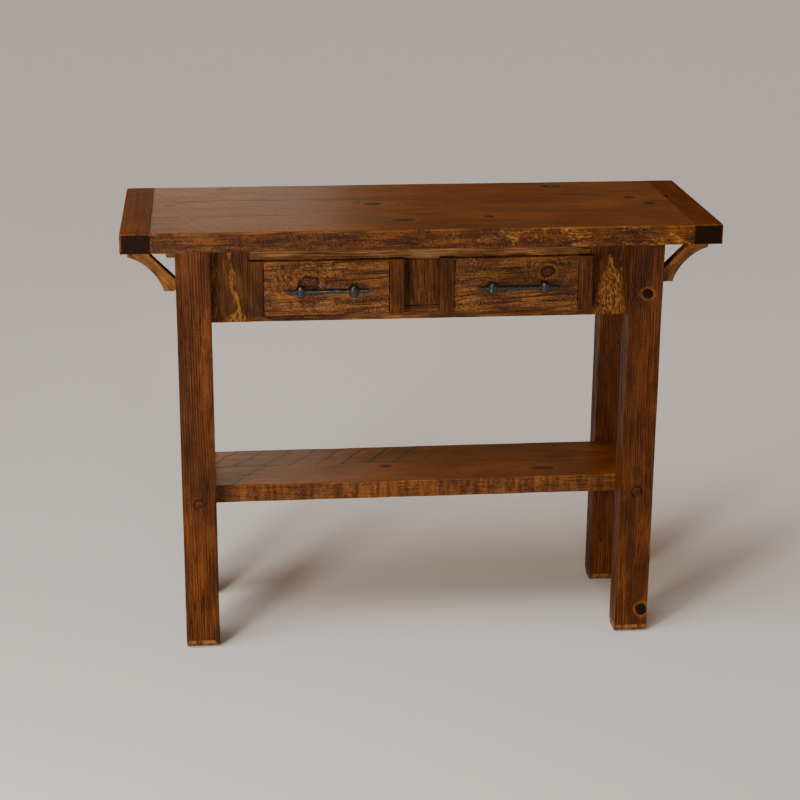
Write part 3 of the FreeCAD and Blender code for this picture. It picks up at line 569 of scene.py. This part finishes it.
# The top rail takes far lighter colours than the blocks: painted light, for the light that falls on the rail
# below the top. The bottom rail takes darker ones.
topRailLitLook = dict(blockLook, **{
    "dark": (0.090, 0.0330, 0.0090), "middle": (0.24, 0.100, 0.0300), "light": (0.46, 0.240, 0.090),
    "wearAndHighlight": 1.0, "blotch": (10, 50, 50),
})
lowRailLook = dict(topRailLitLook, **{
    "dark": (0.040, 0.0120, 0.0022), "middle": (0.120, 0.0400, 0.0080), "light": (0.34, 0.150, 0.0420),
})
shelfLook = dict(topLook, **{
    "bump": 0.0004, "gloss": (0.36, 0.48), "ring": 0.007, "lateDark": 0.35, "coat": 0.33, "wearAndHighlight": 0.6,
    "dark": (0.110, 0.0270, 0.0028), "middle": (0.190, 0.0510, 0.0055), "light": (0.290, 0.0900, 0.0120),
})
shelfEdgeLook = dict(edgeLook, **{
    "hewnStretch": (320, 60, 60), "hewnTurn": (0, 0, 0), "hewn": 2.2, "bump": 0.0012,
    "middle": (0.100, 0.0300, 0.0050), "light": (0.24, 0.0860, 0.0160), "dark": (0.028, 0.0085, 0.0018),
    "lateDark": 0.15, "furrowDark": 0.15, "blotch": (95, 14, 14),
})
braceLook = dict(legLook, **{
    "dark": (0.075, 0.0240, 0.0050), "middle": (0.17, 0.062, 0.013), "light": (0.36, 0.155, 0.036),
    "furrowDark": 0.35, "lateDark": 0.25, "blotch": (20, 40, 40), "speckle": 0.4, "wearAndHighlight": 0.95,
})
plugLook = dict(blockLook, **{
    "bump": 0.0003, "hewn": 0.4, "middle": (0.052, 0.0180, 0.0050), "light": (0.095, 0.0380, 0.0130),
})
bareLook = dict(legLook, **{
    "dark": (0.33, 0.19, 0.085), "middle": (0.47, 0.30, 0.15), "light": (0.60, 0.42, 0.24),
    "lateColour": (0.30, 0.15, 0.06), "deep": (0.16, 0.085, 0.04), "furrowDark": 0.12, "lateDark": 0.5,
    "bump": 0.0002, "hewn": 0.3, "gloss": (0.45, 0.62), "wearAndHighlight": 0.0, "endDark": 0.15, "hollowDark": 0.0,
    "speckle": 0.15, "shine": 0.4,
})
print("woods ready")


# the top

knotDepth = 0.05  # how far a knot reaches up and down from a level face


# Knots in a level face: each is x, y, half its size along X and along Y, darkness.
def levelKnots(height, knots):
    return [((x, y, height), (alongX, alongY, knotDepth), dark) for x, y, alongX, alongY, dark in knots]


topSizes = {"height": 0.927, "frontArris": 0.0048, "seamArris": 0.0009, "lowArris": 0.002,
            "cornerRadius": 0.008, "plankCells": (0.0078, 0.0013, 0.0024),
            "endCells": (0.0026, 0.0078, 0.0024)}
plankLap = 0.0008  # how far a plank runs on inside the end board that it meets


def makeTop():
    leftLow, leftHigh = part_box("end_board_left")
    rightLow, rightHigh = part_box("end_board_right")
    arris, seam, under = topSizes["frontArris"], topSizes["seamArris"], topSizes["lowArris"]
    planks = {
        "front": dict(
            wider=[("-y+z", arris), ("-y-z", under)], pith=(0, -0.20, 0.80), tilt=(0, 0.012, 0.03),
            knots=[(0.143, -0.114, 0.011, 0.008, 0.5), (-0.033, -0.135, 0.020, 0.010, 0.25)]),
        "middle": dict(
            wider=[], pith=(0, 0.03, 0.84), tilt=(0, -0.015, 0.02),
            knots=[(-0.514, 0.035, 0.013, 0.008, 0.5), (-0.492, 0.053, 0.010, 0.006, 0.5),
                   (-0.087, 0.023, 0.020, 0.011, 0.7), (-0.120, 0.037, 0.010, 0.007, 0.6),
                   (0.471, 0.047, 0.013, 0.009, 0.7), (0.502, -0.010, 0.012, 0.009, 0.7)]),
        "back": dict(
            wider=[("+y+z", arris), ("+y-z", under)], pith=(0, 0.12, 0.82), tilt=(0, 0.01, -0.02),
            knots=[(-0.400, 0.194, 0.016, 0.010, 0.6), (0.312, 0.177, 0.013, 0.009, 0.6),
                   (0.335, 0.175, 0.010, 0.008, 0.6)]),
    }
    for number, (which, plan) in enumerate(planks.items()):
        node = "top_plank_" + which
        low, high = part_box(node)
        low = (leftHigh[0] - plankLap, low[1], leftLow[2])
        high = (rightLow[0] + plankLap, high[1], leftHigh[2])
        plank = makeBoard(which + "TopPlank", low, high, topSizes["plankCells"], seam, plan["wider"],
                          exact=True)
        roughen(plank, [("sway", (0.12, 0.05, 0.05), 0.0007, (number, 0, 0)),
                        ("chips", (0.014, 0.007, 0.004), 0.0005, (number, 0, 0))])
        wood = stainedWood(which + "PlankWood", topLook, "x", plan["pith"], plan["tilt"],
                           levelKnots(topSizes["height"], plan["knots"]),
                           saw=((0, 0, -0.4), 0.021, 0.0018, 0.65, (-0.35, 0.0)), seed=number * 1.7)
        dress(plank, wood, "frame", "top_wood", node)
        if which == "front":
            dressFront(plank, stainedWood("frontEdgeWood", edgeLook, "x", (0, -0.14, 0.84), (0, 0.012, 0.03),
                                          gilt=(-0.12, 0.25, 0.9), seed=0.6))
    for side, (low, high) in {"left": (leftLow, leftHigh), "right": (rightLow, rightHigh)}.items():
        outer = "-x" if side == "left" else "+x"
        wider = [(outer + "+z", arris), ("-y+z", arris), ("+y+z", arris),
                 (outer + "-y", topSizes["cornerRadius"]), (outer + "+y", topSizes["cornerRadius"]),
                 (outer + "-z", under), ("-y-z", under), ("+y-z", under)]
        board = makeBoard(side + "EndBoard", low, high, topSizes["endCells"], seam, wider)
        roughen(board, [("sway", (0.05, 0.12, 0.05), 0.0007, (0, 0.3, 0)),
                        ("chips", (0.006, 0.014, 0.005), 0.0003)])
        knots = [(0.552, 0.060, 0.008, 0.012, 0.6)] if side == "right" else []
        wood = stainedWood(side + "EndBoardWood", endBoardLook, "y", (0, 0.5, 0.80), (0, 0.01, 0.02),
                           levelKnots(topSizes["height"], knots), seed=4.0 if side == "left" else 5.3)
        dress(board, wood, "frame", "top_wood", "end_board_" + side)


makeTop()
print("top made")


# legs and their plugs

legSizes = {"arris": 0.0024, "footChamfer": 0.011, "footSideChamfer": 0.003, "slantFrom": 0.0025,
            "footCuts": 4, "cells": (0.00065, 0.00065, 0.012), "steep": 0.9, "plugRadius": 0.010,
            "plugLength": 0.009, "plugMiddle": 0.0055, "plugArris": 0.0012, "plugSeat": 0.0109,
            "plugSeatDepth": 0.0024, "seatShadeReach": 1.1, "seatShadeDepth": 0.006}
corners = [("front", "left"), ("front", "right"), ("back", "left"), ("back", "right")]


def chamferFoot(leg, words, amount, low, high):
    start, end = edgeEnds(leg)
    middle = (start + end) / 2
    openWithEdges(leg, sideTest(words, middle, low, high))
    bpy.ops.mesh.bevel(offset=amount, segments=1)
    closeEdit()


# rows across the slanted faces of a foot, so that their pale paint of wear and light stays on them
def rowFoot(leg):
    start, end = edgeEnds(leg)
    run = np.sort(np.abs(end - start), axis=1)
    openWithEdges(leg, (run[:, 1] > 0.5 * run[:, 2]) & (run[:, 2] > legSizes["slantFrom"]))
    bpy.ops.mesh.subdivide(number_cuts=legSizes["footCuts"])
    closeEdit()


# painted shade in the seat of a plug: the seat walls and a thin ring round the plug are darkened as a deep
# hollow and get no pale edge
def paintSeatShade(leg, x, face, height):
    points = meshPoints(leg)
    away = np.hypot(points[:, 0] - x, points[:, 2] - height)
    inSeat = away < legSizes["seatShadeReach"] * legSizes["plugSeat"]
    inSeat &= np.abs(points[:, 1] - face) < legSizes["seatShadeDepth"]
    for name, value in (("arris", 0.0), ("carved", 1.0)):
        layer = leg.data.attributes[name]
        values = np.empty(len(points))
        layer.data.foreach_get("value", values)
        values[inSeat] = value
        layer.data.foreach_set("value", values)


def makeLeg(end, side, knots, seed):
    node = "leg_%s_%s" % (end, side)
    low, high = (np.array(corner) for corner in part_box(node))
    leg = addBlock("%s%sLeg" % (end, side.capitalize()), low, high)
    for words, amount in (("-y-z", legSizes["footChamfer"]), ("+y-z", legSizes["footChamfer"]),
                          ("-x-z", legSizes["footSideChamfer"]), ("+x-z", legSizes["footSideChamfer"])):
        chamferFoot(leg, words, amount, low, high)
    rowFoot(leg)
    start, finish = edgeEnds(leg)
    run = np.abs(finish - start)
    openWithEdges(leg, run[:, 2] > legSizes["steep"] * np.linalg.norm(run, axis=1))
    bpy.ops.mesh.bevel(offset=legSizes["arris"], segments=3)
    closeEdit()
    cutGrid(leg, legSizes["cells"], exact=True)
    # the seat of the plug
    plugLow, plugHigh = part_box("leg_plugs")
    height = (plugLow[2] + plugHigh[2]) / 2
    face = low[1] if end == "front" else high[1]
    across = (low[0] + high[0]) / 2
    cutAway(leg, addRound(legSizes["plugSeat"], 2 * legSizes["plugSeatDepth"], 48, (across, face, height)))
    roughen(leg, [("sway", (0.03, 0.03, 0.25), 0.0012, (seed, 0, 0)),
                  ("fibre", (0.0042, 0.0042, 0.16), 0.0011, (seed, 0, 0))])
    # painted shade round the plug
    paintSeatShade(leg, across, face, height)
    pith = (0, (low[1] + high[1]) / 2, -(low[0] + high[0]) / 2 - 0.3)
    wood = stainedWood(leg.name + "Wood", legLook, "z", pith, (0, 0.012, 0.012), knots,
                       saw=((0, 1.0, 0), 0.0062, 0.0022, 0.22, (3, 4)), seed=seed)
    dress(leg, wood, "frame", "leg_wood", node)


legKnots = {
    ("front", "right"): [((0.471, -0.171, 0.769), (0.011, 0.03, 0.009), 1.0),
                         ((0.489, -0.171, 0.054), (0.011, 0.03, 0.012), 1.0)],
    ("back", "left"): [((-0.455, 0.171, 0.62), (0.010, 0.03, 0.009), 0.9)],
}
for number, (end, side) in enumerate(corners):
    makeLeg(end, side, legKnots.get((end, side), []), 0.55 + 1.3 * number)
print("legs made")


def makePlugs():
    low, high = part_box("leg_plugs")
    height = (low[2] + high[2]) / 2
    radius = legSizes["plugRadius"]
    plugs = []
    for x in (low[0] + radius, high[0] - radius):
        for face, inward in ((low[1], 1), (high[1], -1)):
            middle = (x, face + inward * legSizes["plugMiddle"], height)
            plug = addRound(radius, legSizes["plugLength"], 48, middle)
            useModifier(plug, "BEVEL", width=legSizes["plugArris"], segments=3, limit_method="ANGLE")
            plugs.append(plug)
    joined = joinAll(plugs)
    joined.name = "legPlugs"
    pickOnly(joined)
    bpy.ops.object.shade_smooth_by_angle(angle=0.6)
    wood = stainedWood("plugWood", plugLook, "x", (0, 0.3, 0.2), seed=9.0)
    dress(joined, wood, "frame", "plug_wood", "leg_plugs")


makePlugs()


# boards under the top

hidden = 0.004  # how far a board runs on inside the leg that it meets
railLap = 0.002  # how far a rail runs on inside the block that it meets


def makeFrontFrame():
    leftLeg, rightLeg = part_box("leg_front_left"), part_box("leg_front_right")
    middleLow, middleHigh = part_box("front_block_middle")
    bottomLow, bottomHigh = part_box("front_rail_bottom")
    topLow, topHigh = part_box("front_rail_top")
    blocks = {
        "left": ((leftLeg[1][0] - hidden, bottomLow[1], bottomLow[2]),
                 (bottomLow[0], bottomHigh[1], topHigh[2]), (0, -0.19, 0.40), (0, 0.05, 0.03),
                 [(-0.424, 0.02, 0.0030, 0.0, 0.9, 0.6), (-0.394, -0.10, 0.0045, 0.0, 0.9, 0.75),
                  (-0.378, 0.0, 0.002, 0.8, 0.752, 0.9)]),
        "right": ((bottomHigh[0], bottomLow[1], bottomLow[2]),
                  (rightLeg[0][0] + hidden, bottomHigh[1], topHigh[2]), (0, -0.17, -0.33), (0, 0.10, 0.05),
                  [(0.395, 0.0, 0.002, 0.28, 0.852, 1.0), (0.421, 0.05, 0.003, 0.0, 0.9, 0.5)]),
        "middle": (middleLow, middleHigh, (0, -0.18, 0.01), (0, 0.04, 0.05),
                   [(-0.030, 0.3, 0.006, 0.0, 0.86, 0.4)]),
    }
    for number, (which, (low, high, pith, tilt, flames)) in enumerate(blocks.items()):
        block = makeBoard(which + "FrontBlock", low, high, (0.0022, 0.0028, 0.0036), 0.001)
        roughen(block, [("fibre", (0.005, 0.005, 0.05), 0.0008, (number, 0, 0)),
                        ("chips", (0.006, 0.006, 0.010), 0.0006, (number, 0, 0))])
        wood = stainedWood(which + "BlockWood", blockLook, "z", pith, tilt, flames=flames,
                           seed=2.0 + number * 1.1)
        dress(block, wood, "frame", "apron_wood", "front_block_" + which)
    for which, low, high in (("bottom", bottomLow, bottomHigh), ("top", topLow, topHigh)):
        low, high = (low[0] - railLap, low[1], low[2]), (high[0] + railLap, high[1], high[2])
        rail = makeBoard(which + "FrontRail", low, high, (0.005, 0.0028, 0.0022), 0.0012)
        roughen(rail, [("sway", (0.09, 0.03, 0.03), 0.0008),
                       ("fibre", (0.07, 0.005, 0.005), 0.0008)])
        look = topRailLitLook if which == "top" else lowRailLook
        wood = stainedWood(which + "RailWood", look, "x", (0, -0.2, 0.70), (0, 0.01, 0.01),
                           seed=6.0 if which == "top" else 7.0)
        dress(rail, wood, "frame", "apron_wood", "front_rail_" + which)


makeFrontFrame()


def makeAprons():
    backLeg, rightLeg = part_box("leg_back_left"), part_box("leg_back_right")
    low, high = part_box("back_apron")
    low = (backLeg[1][0] - hidden, low[1], low[2])
    high = (rightLeg[0][0] + hidden, high[1], high[2])
    board = makeBoard("backApron", low, high, (0.006, 0.0035, 0.003), 0.0015)
    roughen(board, [("sway", (0.1, 0.05, 0.05), 0.001), ("fibre", (0.08, 0.006, 0.006), 0.0008)])
    knots = [((-0.21, 0.146, 0.80), (0.016, 0.04, 0.010), 0.9),
             ((0.28, 0.146, 0.845), (0.012, 0.04, 0.009), 0.9)]
    wood = stainedWood("backApronWood", blockLook, "x", (0, 0.20, 0.78), (0, 0.02, 0.02), knots, seed=3.0)
    dress(board, wood, "frame", "apron_wood", "back_apron")
    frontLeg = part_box("leg_front_left")
    for side in ("left", "right"):
        low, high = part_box("side_apron_" + side)
        low = (low[0], frontLeg[1][1] - hidden, low[2])
        high = (high[0], backLeg[0][1] + hidden, high[2])
        board = makeBoard(side + "SideApron", low, high, (0.0035, 0.005, 0.003), 0.0015)
        roughen(board, [("sway", (0.05, 0.1, 0.05), 0.001), ("fibre", (0.006, 0.08, 0.006), 0.0008)])
        wood = stainedWood(side + "ApronWood", blockLook, "y", (0, 0.5, 0.79), (0, 0.02, 0.02),
                           seed=8.0 if side == "left" else 8.8)
        dress(board, wood, "frame", "apron_wood", "side_apron_" + side)


makeAprons()
print("boards under the top made")


# shelf

shelfSizes = {"height": 0.350, "arris": 0.0035, "lowArris": 0.0025, "seamArris": 0.0012,
              "cells": (0.0073, 0.0013, 0.0024)}


def makeShelf():
    arris, under = shelfSizes["arris"], shelfSizes["lowArris"]
    plans = {
        "front": dict(wider=[("-y+z", arris), ("-y-z", under)], pith=(0, -0.10, 0.28),
                      cuts=(0.11, 0.0052, 0.95, (-0.33, -0.22)),
                      knots=[(-0.062, -0.018, 0.013, 0.008, 0.7), (0.278, -0.057, 0.024, 0.009, 0.35)]),
        "back": dict(wider=[("+y+z", arris), ("+y-z", under)], pith=(0, 0.03, 0.27), knots=[],
                     cuts=(0.048, 0.0048, 0.95, (-0.05, 0.15))),
    }
    for number, (which, plan) in enumerate(plans.items()):
        low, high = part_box("shelf_plank_" + which)
        plank = makeBoard(which + "ShelfPlank", low, high, shelfSizes["cells"], shelfSizes["seamArris"],
                          plan["wider"], exact=True)
        roughen(plank, [("sway", (0.10, 0.05, 0.05), 0.0014, (number, 0, 0)),
                        ("fibre", (0.09, 0.008, 0.02), 0.0005, (number, 0, 0))])
        wood = stainedWood(which + "ShelfWood", shelfLook, "x", plan["pith"], (0, 0.008, 0.02),
                           levelKnots(shelfSizes["height"], plan["knots"]),
                           saw=((0, 0, 0.575), *plan["cuts"]), seed=10.0 + number * 2.3)
        dress(plank, wood, "frame", "shelf_wood", "shelf_plank_" + which)
        if which == "front":
            dressFront(plank, stainedWood("shelfEdgeWood", shelfEdgeLook, "x", (0, -0.10, 0.28),
                                          (0, 0.008, 0.02), seed=11.5))


makeShelf()
print("shelf made")


# braces

braceSizes = {"nose": 0.023, "innerEdge": 0.067, "arc": 0.107, "grain": 0.0013,
              "footRound": 0.007, "arris": 0.0022}


def makeBrace(end, side, seed):
    node = "brace_%s_%s" % (end, side)
    low, high = (np.array(corner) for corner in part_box(node))
    way = 1 if side == "right" else -1
    corner = Vector((low[0] if side == "right" else high[0], (low[1] + high[1]) / 2, high[2]))
    reach, nose, inner = high[2] - low[2], braceSizes["nose"], braceSizes["innerEdge"]
    if side == "right":
        low[0] -= hidden
    else:
        high[0] += hidden
    brace = addBlock("%s%sBrace" % (end, side.capitalize()), low, high)
    for foot, keepOut in ((inner, False), (reach + nose, True)):
        bpy.ops.object.mode_set(mode="EDIT")
        bpy.ops.mesh.select_all(action="SELECT")
        bpy.ops.mesh.bisect(plane_co=corner + Vector((way * foot, 0, 0)), plane_no=(way, 0, -1),
                            use_fill=True, clear_outer=keepOut, clear_inner=not keepOut)
        closeEdit()
    halfChord = (reach - nose) / math.sqrt(2)
    arc = braceSizes["arc"]
    centre = (reach + nose + math.sqrt(2) * math.sqrt(arc ** 2 - halfChord ** 2)) / 2
    cutAway(brace, addRound(arc, 0.1, 128, corner + Vector((way * centre, 0, -centre))))
    start, finish = edgeEnds(brace)
    lowest = (start[:, 2] < low[2] + 0.001) & (finish[:, 2] < low[2] + 0.001)
    openWithEdges(brace, lowest & (np.abs(start[:, 1] - finish[:, 1]) > 0.01))
    bpy.ops.mesh.bevel(offset=braceSizes["footRound"], segments=4)
    closeEdit()
    useModifier(brace, "BEVEL", width=braceSizes["arris"], segments=2, limit_method="ANGLE", angle_limit=0.6)
    useModifier(brace, "REMESH", mode="VOXEL", voxel_size=braceSizes["grain"])
    roughen(brace, [("sway", (0.03, 0.03, 0.03), 0.0008, (seed, 0, 0)),
                    ("fibre", (0.05, 0.005, 0.005), 0.0007, (seed, 0, 0), (0, way * math.pi / 4, 0)),
                    ("chips", (0.006, 0.006, 0.006), 0.0005, (seed, 0, 0))], plate=True)
    wood = stainedWood(brace.name + "Wood", braceLook, "x", (0, 0.1, 0.9), (0, way * math.pi / 4, 0.02),
                       seed=seed)
    dress(brace, wood, "frame", "brace_wood", node)


for number, (end, side) in enumerate(corners):
    makeBrace(end, side, 0.7 * number)
print("braces made")


# drawer fronts

faceKnots = {
    "left": [((-0.232, -0.166, 0.804), (0.019, 0.03, 0.014), 0.1)],
    "right": [((0.260, -0.166, 0.820), (0.013, 0.03, 0.011), 0.35)],
}


def makeDrawerFront(side):
    stem = "drawer_%s_face_" % side
    body = "drawer_" + side
    capLeft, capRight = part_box(stem + "cap_left"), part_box(stem + "cap_right")
    low = (capLeft[1][0], capLeft[0][1], capLeft[0][2])
    high = (capRight[0][0], capRight[1][1], capRight[1][2])
    seed = 12.0 if side == "left" else 14.5
    panel = makeBoard(side + "DrawerPanel", low, high, (0.0026, 0.003, 0.0020), 0.0009,
                      [("-y+z", 0.0022), ("-y-z", 0.0018)])
    roughen(panel, [("sway", (0.06, 0.03, 0.03), 0.0008, (seed, 0, 0)),
                    ("fibre", (0.03, 0.005, 0.005), 0.0007, (seed, 0, 0)),
                    ("chips", (0.008, 0.006, 0.004), 0.0011, (seed, 0, 0))])
    pith = (0, -0.25, 0.80)
    wood = stainedWood(side + "PanelWood", faceLook, "x", pith, (0, 0.04, 0.03), faceKnots[side], seed=seed)
    dress(panel, wood, body, "drawer_face_wood", stem + "panel")
    for where, (low, high) in {"left": capLeft, "right": capRight}.items():
        name = "%sDrawer%sCap" % (side, where.capitalize())
        cap = makeBoard(name, low, high, (0.0020, 0.003, 0.0030), 0.0009, [("-y+z", 0.0018)])
        roughen(cap, [("fibre", (0.004, 0.004, 0.05), 0.0006, (seed, 0, 0))])
        wood = stainedWood(name + "Wood", dict(blockLook, bump=0.0006, hewn=0.6), "z", (0, -0.19, 0.1),
                           (0, 0.02, 0.02), seed=seed + (0.8 if where == "left" else 1.9))
        dress(cap, wood, body, "drawer_face_wood", stem + "cap_" + where)


for side in ("left", "right"):
    makeDrawerFront(side)
print("drawer fronts made")


# forged pulls

pullSizes = {"rod": 0.0049, "taper": 0.93, "knuckle": 0.0101, "height": 0.0245, "round": 0.0062,
             "neck": 0.0125, "foot": 0.0082, "footThickness": 0.003, "spacing": 0.108,
             "endRound": 0.0016, "taperFrom": 0.55, "cell": 0.0012, "grain": 0.0006,
             "dent": (0.0042, 0.0042, 0.0042), "rodDents": 0.00022, "postDents": 0.0006}


def forgedIron():
    iron, skin = newMaterial("forgedIron")
    tree = iron.node_tree
    place = addNode(tree, "ShaderNodeTexCoord").outputs["Object"]
    scale = noise(tree, place, 260.0, 4.0, 0.65)
    dents = addNode(tree, "ShaderNodeTexVoronoi", {"Vector": place, "Scale": 210.0, "Randomness": 1.0},
                    feature="SMOOTH_F1").outputs["Distance"]
    colour = ramp(tree, scale, [(0.3, (0.003, 0.0032, 0.0030)), (0.6, (0.007, 0.0073, 0.0070)),
                                (0.8, (0.022, 0.021, 0.019))])
    carved = keptNumber(tree, "carved")
    colour = mixColour(tree, spread(tree, carved, 0.3, 0.9, 0.0, 0.6), colour, (0.004, 0.004, 0.004))
    tree.links.new(colour, skin.inputs["Base Color"])
    tree.links.new(spread(tree, scale, 0.3, 0.7, 0.16, 0.34, False), skin.inputs["Roughness"])
    height = plus(tree, times(tree, dents, 0.6), times(tree, scale, 0.3))
    bump = addNode(tree, "ShaderNodeBump", {"Height": height, "Strength": 0.5, "Distance": 0.00022})
    tree.links.new(bump.outputs[0], skin.inputs["Normal"])
    skin.inputs["Specular IOR Level"].default_value = 0.45
    skin.inputs["Coat Weight"].default_value = 0.35
    skin.inputs["Coat Roughness"].default_value = 0.12
    return iron


iron = forgedIron()


def hammered(piece, seed, depth):
    before = meshPoints(piece)
    normals = meshNormals(piece)
    carve(piece, "hammer", pullSizes["dent"], depth, (seed, 0, 0), (0.3, 0.2, 0.1))
    keepDepth(piece, before, normals)


def makePull(side):
    body = "drawer_" + side
    low, high = (np.array(corner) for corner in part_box(body + "_pull_rod"))
    middle = (low + high) / 2
    bar = addRound(pullSizes["rod"], high[0] - low[0], 32, middle, (0, math.pi / 2, 0))
    bar.name = side + "PullRod"
    bar.data.name = bar.name
    useModifier(bar, "BEVEL", width=pullSizes["endRound"], segments=3, limit_method="ANGLE")
    cutGrid(bar, (pullSizes["cell"], 1, 1))
    points = meshPoints(bar)
    out = np.abs(points[:, 0] - middle[0]) / ((high[0] - low[0]) / 2)
    start = pullSizes["taperFrom"]
    squeeze = 1 - (1 - pullSizes["taper"]) * np.clip((out - start) / (1 - start), 0, 1)
    points[:, 1:] = middle[1:] + (points[:, 1:] - middle[1:]) * squeeze[:, None]
    bar.data.vertices.foreach_set("co", points.ravel())
    hammered(bar, 1.0 if side == "left" else 2.0, pullSizes["rodDents"])
    dress(bar, iron, body, "forged_iron", body + "_pull_rod")
    posts = []
    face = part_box(body + "_face_panel")[0][1]
    for across in (-0.5, 0.5):
        x = middle[0] + across * pullSizes["spacing"]
        knuckle = addRound(pullSizes["knuckle"], pullSizes["height"], 40, (x, *middle[1:]), (0, 0, 0))
        useModifier(knuckle, "BEVEL", width=pullSizes["round"], segments=4, limit_method="ANGLE")
        clearSelection()
        width, thick = pullSizes["neck"], pullSizes["footThickness"]
        bpy.ops.mesh.primitive_cube_add(size=1, location=(x, (middle[1] + face) / 2, middle[2] + 0.001),
                                        scale=(width, face - middle[1], width))
        neck = bpy.context.object
        settle(neck)
        foot = addRound(pullSizes["foot"], thick, 40, (x, face - thick / 2, middle[2]))
        post = joinAll([knuckle, neck, foot])
        useModifier(post, "REMESH", mode="VOXEL", voxel_size=pullSizes["grain"])
        useModifier(post, "SMOOTH", factor=0.6, iterations=4)
        posts.append(post)
    pair = joinAll(posts)
    pair.name = side + "PullPosts"
    pair.data.name = pair.name
    hammered(pair, 3.0 if side == "left" else 4.0, pullSizes["postDents"])
    dress(pair, iron, body, "forged_iron", body + "_pull_posts")


for side in ("left", "right"):
    makePull(side)
print("pulls made")


# materials of the pieces that keep their shape

def plainSteel():
    steel, skin = newMaterial("zincScrews")
    tree = steel.node_tree
    place = addNode(tree, "ShaderNodeTexCoord").outputs["Object"]
    streak = noise(tree, place, 900.0, 3.0, 0.6)
    colour = ramp(tree, streak, [(0.3, (0.36, 0.33, 0.26)), (0.7, (0.62, 0.60, 0.55))])
    tree.links.new(colour, skin.inputs["Base Color"])
    tree.links.new(spread(tree, streak, 0.3, 0.7, 0.28, 0.5, False), skin.inputs["Roughness"])
    skin.inputs["Metallic"].default_value = 1.0
    return steel


def dressInside():
    woods = {
        "x": stainedWood("bareWoodAcross", bareLook, "x", (0, 0.1, 0.70), seed=20.0),
        "y": stainedWood("bareWoodDeep", bareLook, "y", (0, 0.3, 0.70), seed=21.0),
    }
    steel = plainSteel()
    for name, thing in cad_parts.items():
        if "screws" in name:
            chosen = steel
        elif name.startswith(("runner", "guide", "kicker")) or "_side_" in name:
            chosen = woods["y"]
        elif name.startswith("drawer") or name == "frame_dowels":
            chosen = woods["x"]
        else:
            continue
        for spot in thing.material_slots:
            spot.material = chosen


dressInside()
print("inside dressed")


# floor, light and camera

studio = {
    "floorColour": (0.74, 0.745, 0.755), "worldColour": (1.0, 0.66, 0.38), "worldStrength": 0.235,
    "key": dict(place=(-1.85, -2.5, 1.2), size=0.6, power=72, colour=(1.0, 0.90, 0.78)),
    "fill": dict(place=(0.1, -4.6, 1.8), size=0.4, power=22, colour=(1.0, 0.93, 0.86)),
    "sheen": dict(place=(-0.38, 2.7, 1.45), size=0.8, power=3.7, colour=(1.0, 0.78, 0.58)),
    "sunTurn": (0.30, -0.38, 0), "sunPower": 1.7, "sunSize": 0.6, "aim": (0, 0, 0.6), "floorSize": 60,
}
cameraPlan = {"place": (-0.4251, -3.9117, 1.7847), "lens": 85.43, "sensor": 36,
              "yaw": 5.80, "down": 18.16, "roll": 0.34}


def makeFloor():
    clearSelection()
    bpy.ops.mesh.primitive_plane_add(size=studio["floorSize"])
    floor = bpy.context.object
    floor.name = "floor"
    paint, skin = newMaterial("palePaint")
    skin.inputs["Base Color"].default_value = (*studio["floorColour"], 1)
    skin.inputs["Roughness"].default_value = 0.9
    floor.data.materials.append(paint)


def makeLights():
    world = bpy.data.worlds.new("studio")
    bpy.context.scene.world = world
    world.use_nodes = True
    back = world.node_tree.nodes["Background"]
    back.inputs["Color"].default_value = (*studio["worldColour"], 1)
    back.inputs["Strength"].default_value = studio["worldStrength"]
    for name in ("key", "fill", "sheen"):
        plan = studio[name]
        bpy.ops.object.light_add(type="AREA", location=plan["place"])
        lamp = bpy.context.object
        lamp.name = name
        lamp.data.size = plan["size"]
        lamp.data.energy = plan["power"]
        lamp.data.color = plan["colour"]
        lamp.visible_camera = False
        aim = Vector(studio["aim"]) - Vector(plan["place"])
        lamp.rotation_euler = aim.to_track_quat("-Z", "Y").to_euler()
    bpy.ops.object.light_add(type="SUN", location=(0, 0, 4), rotation=studio["sunTurn"])
    sun = bpy.context.object
    sun.name = "sky"
    sun.data.energy = studio["sunPower"]
    sun.data.angle = studio["sunSize"]


def makeCamera():
    bpy.ops.object.camera_add(location=cameraPlan["place"])
    camera = bpy.context.object
    camera.rotation_euler = (math.radians(90 - cameraPlan["down"]), 0, -math.radians(cameraPlan["yaw"]))
    camera.rotation_euler.rotate_axis("Z", math.radians(cameraPlan["roll"]))
    camera.data.lens = cameraPlan["lens"]
    camera.data.sensor_width = cameraPlan["sensor"]
    bpy.context.scene.camera = camera


makeFloor()
makeLights()
makeCamera()
print("studio ready")
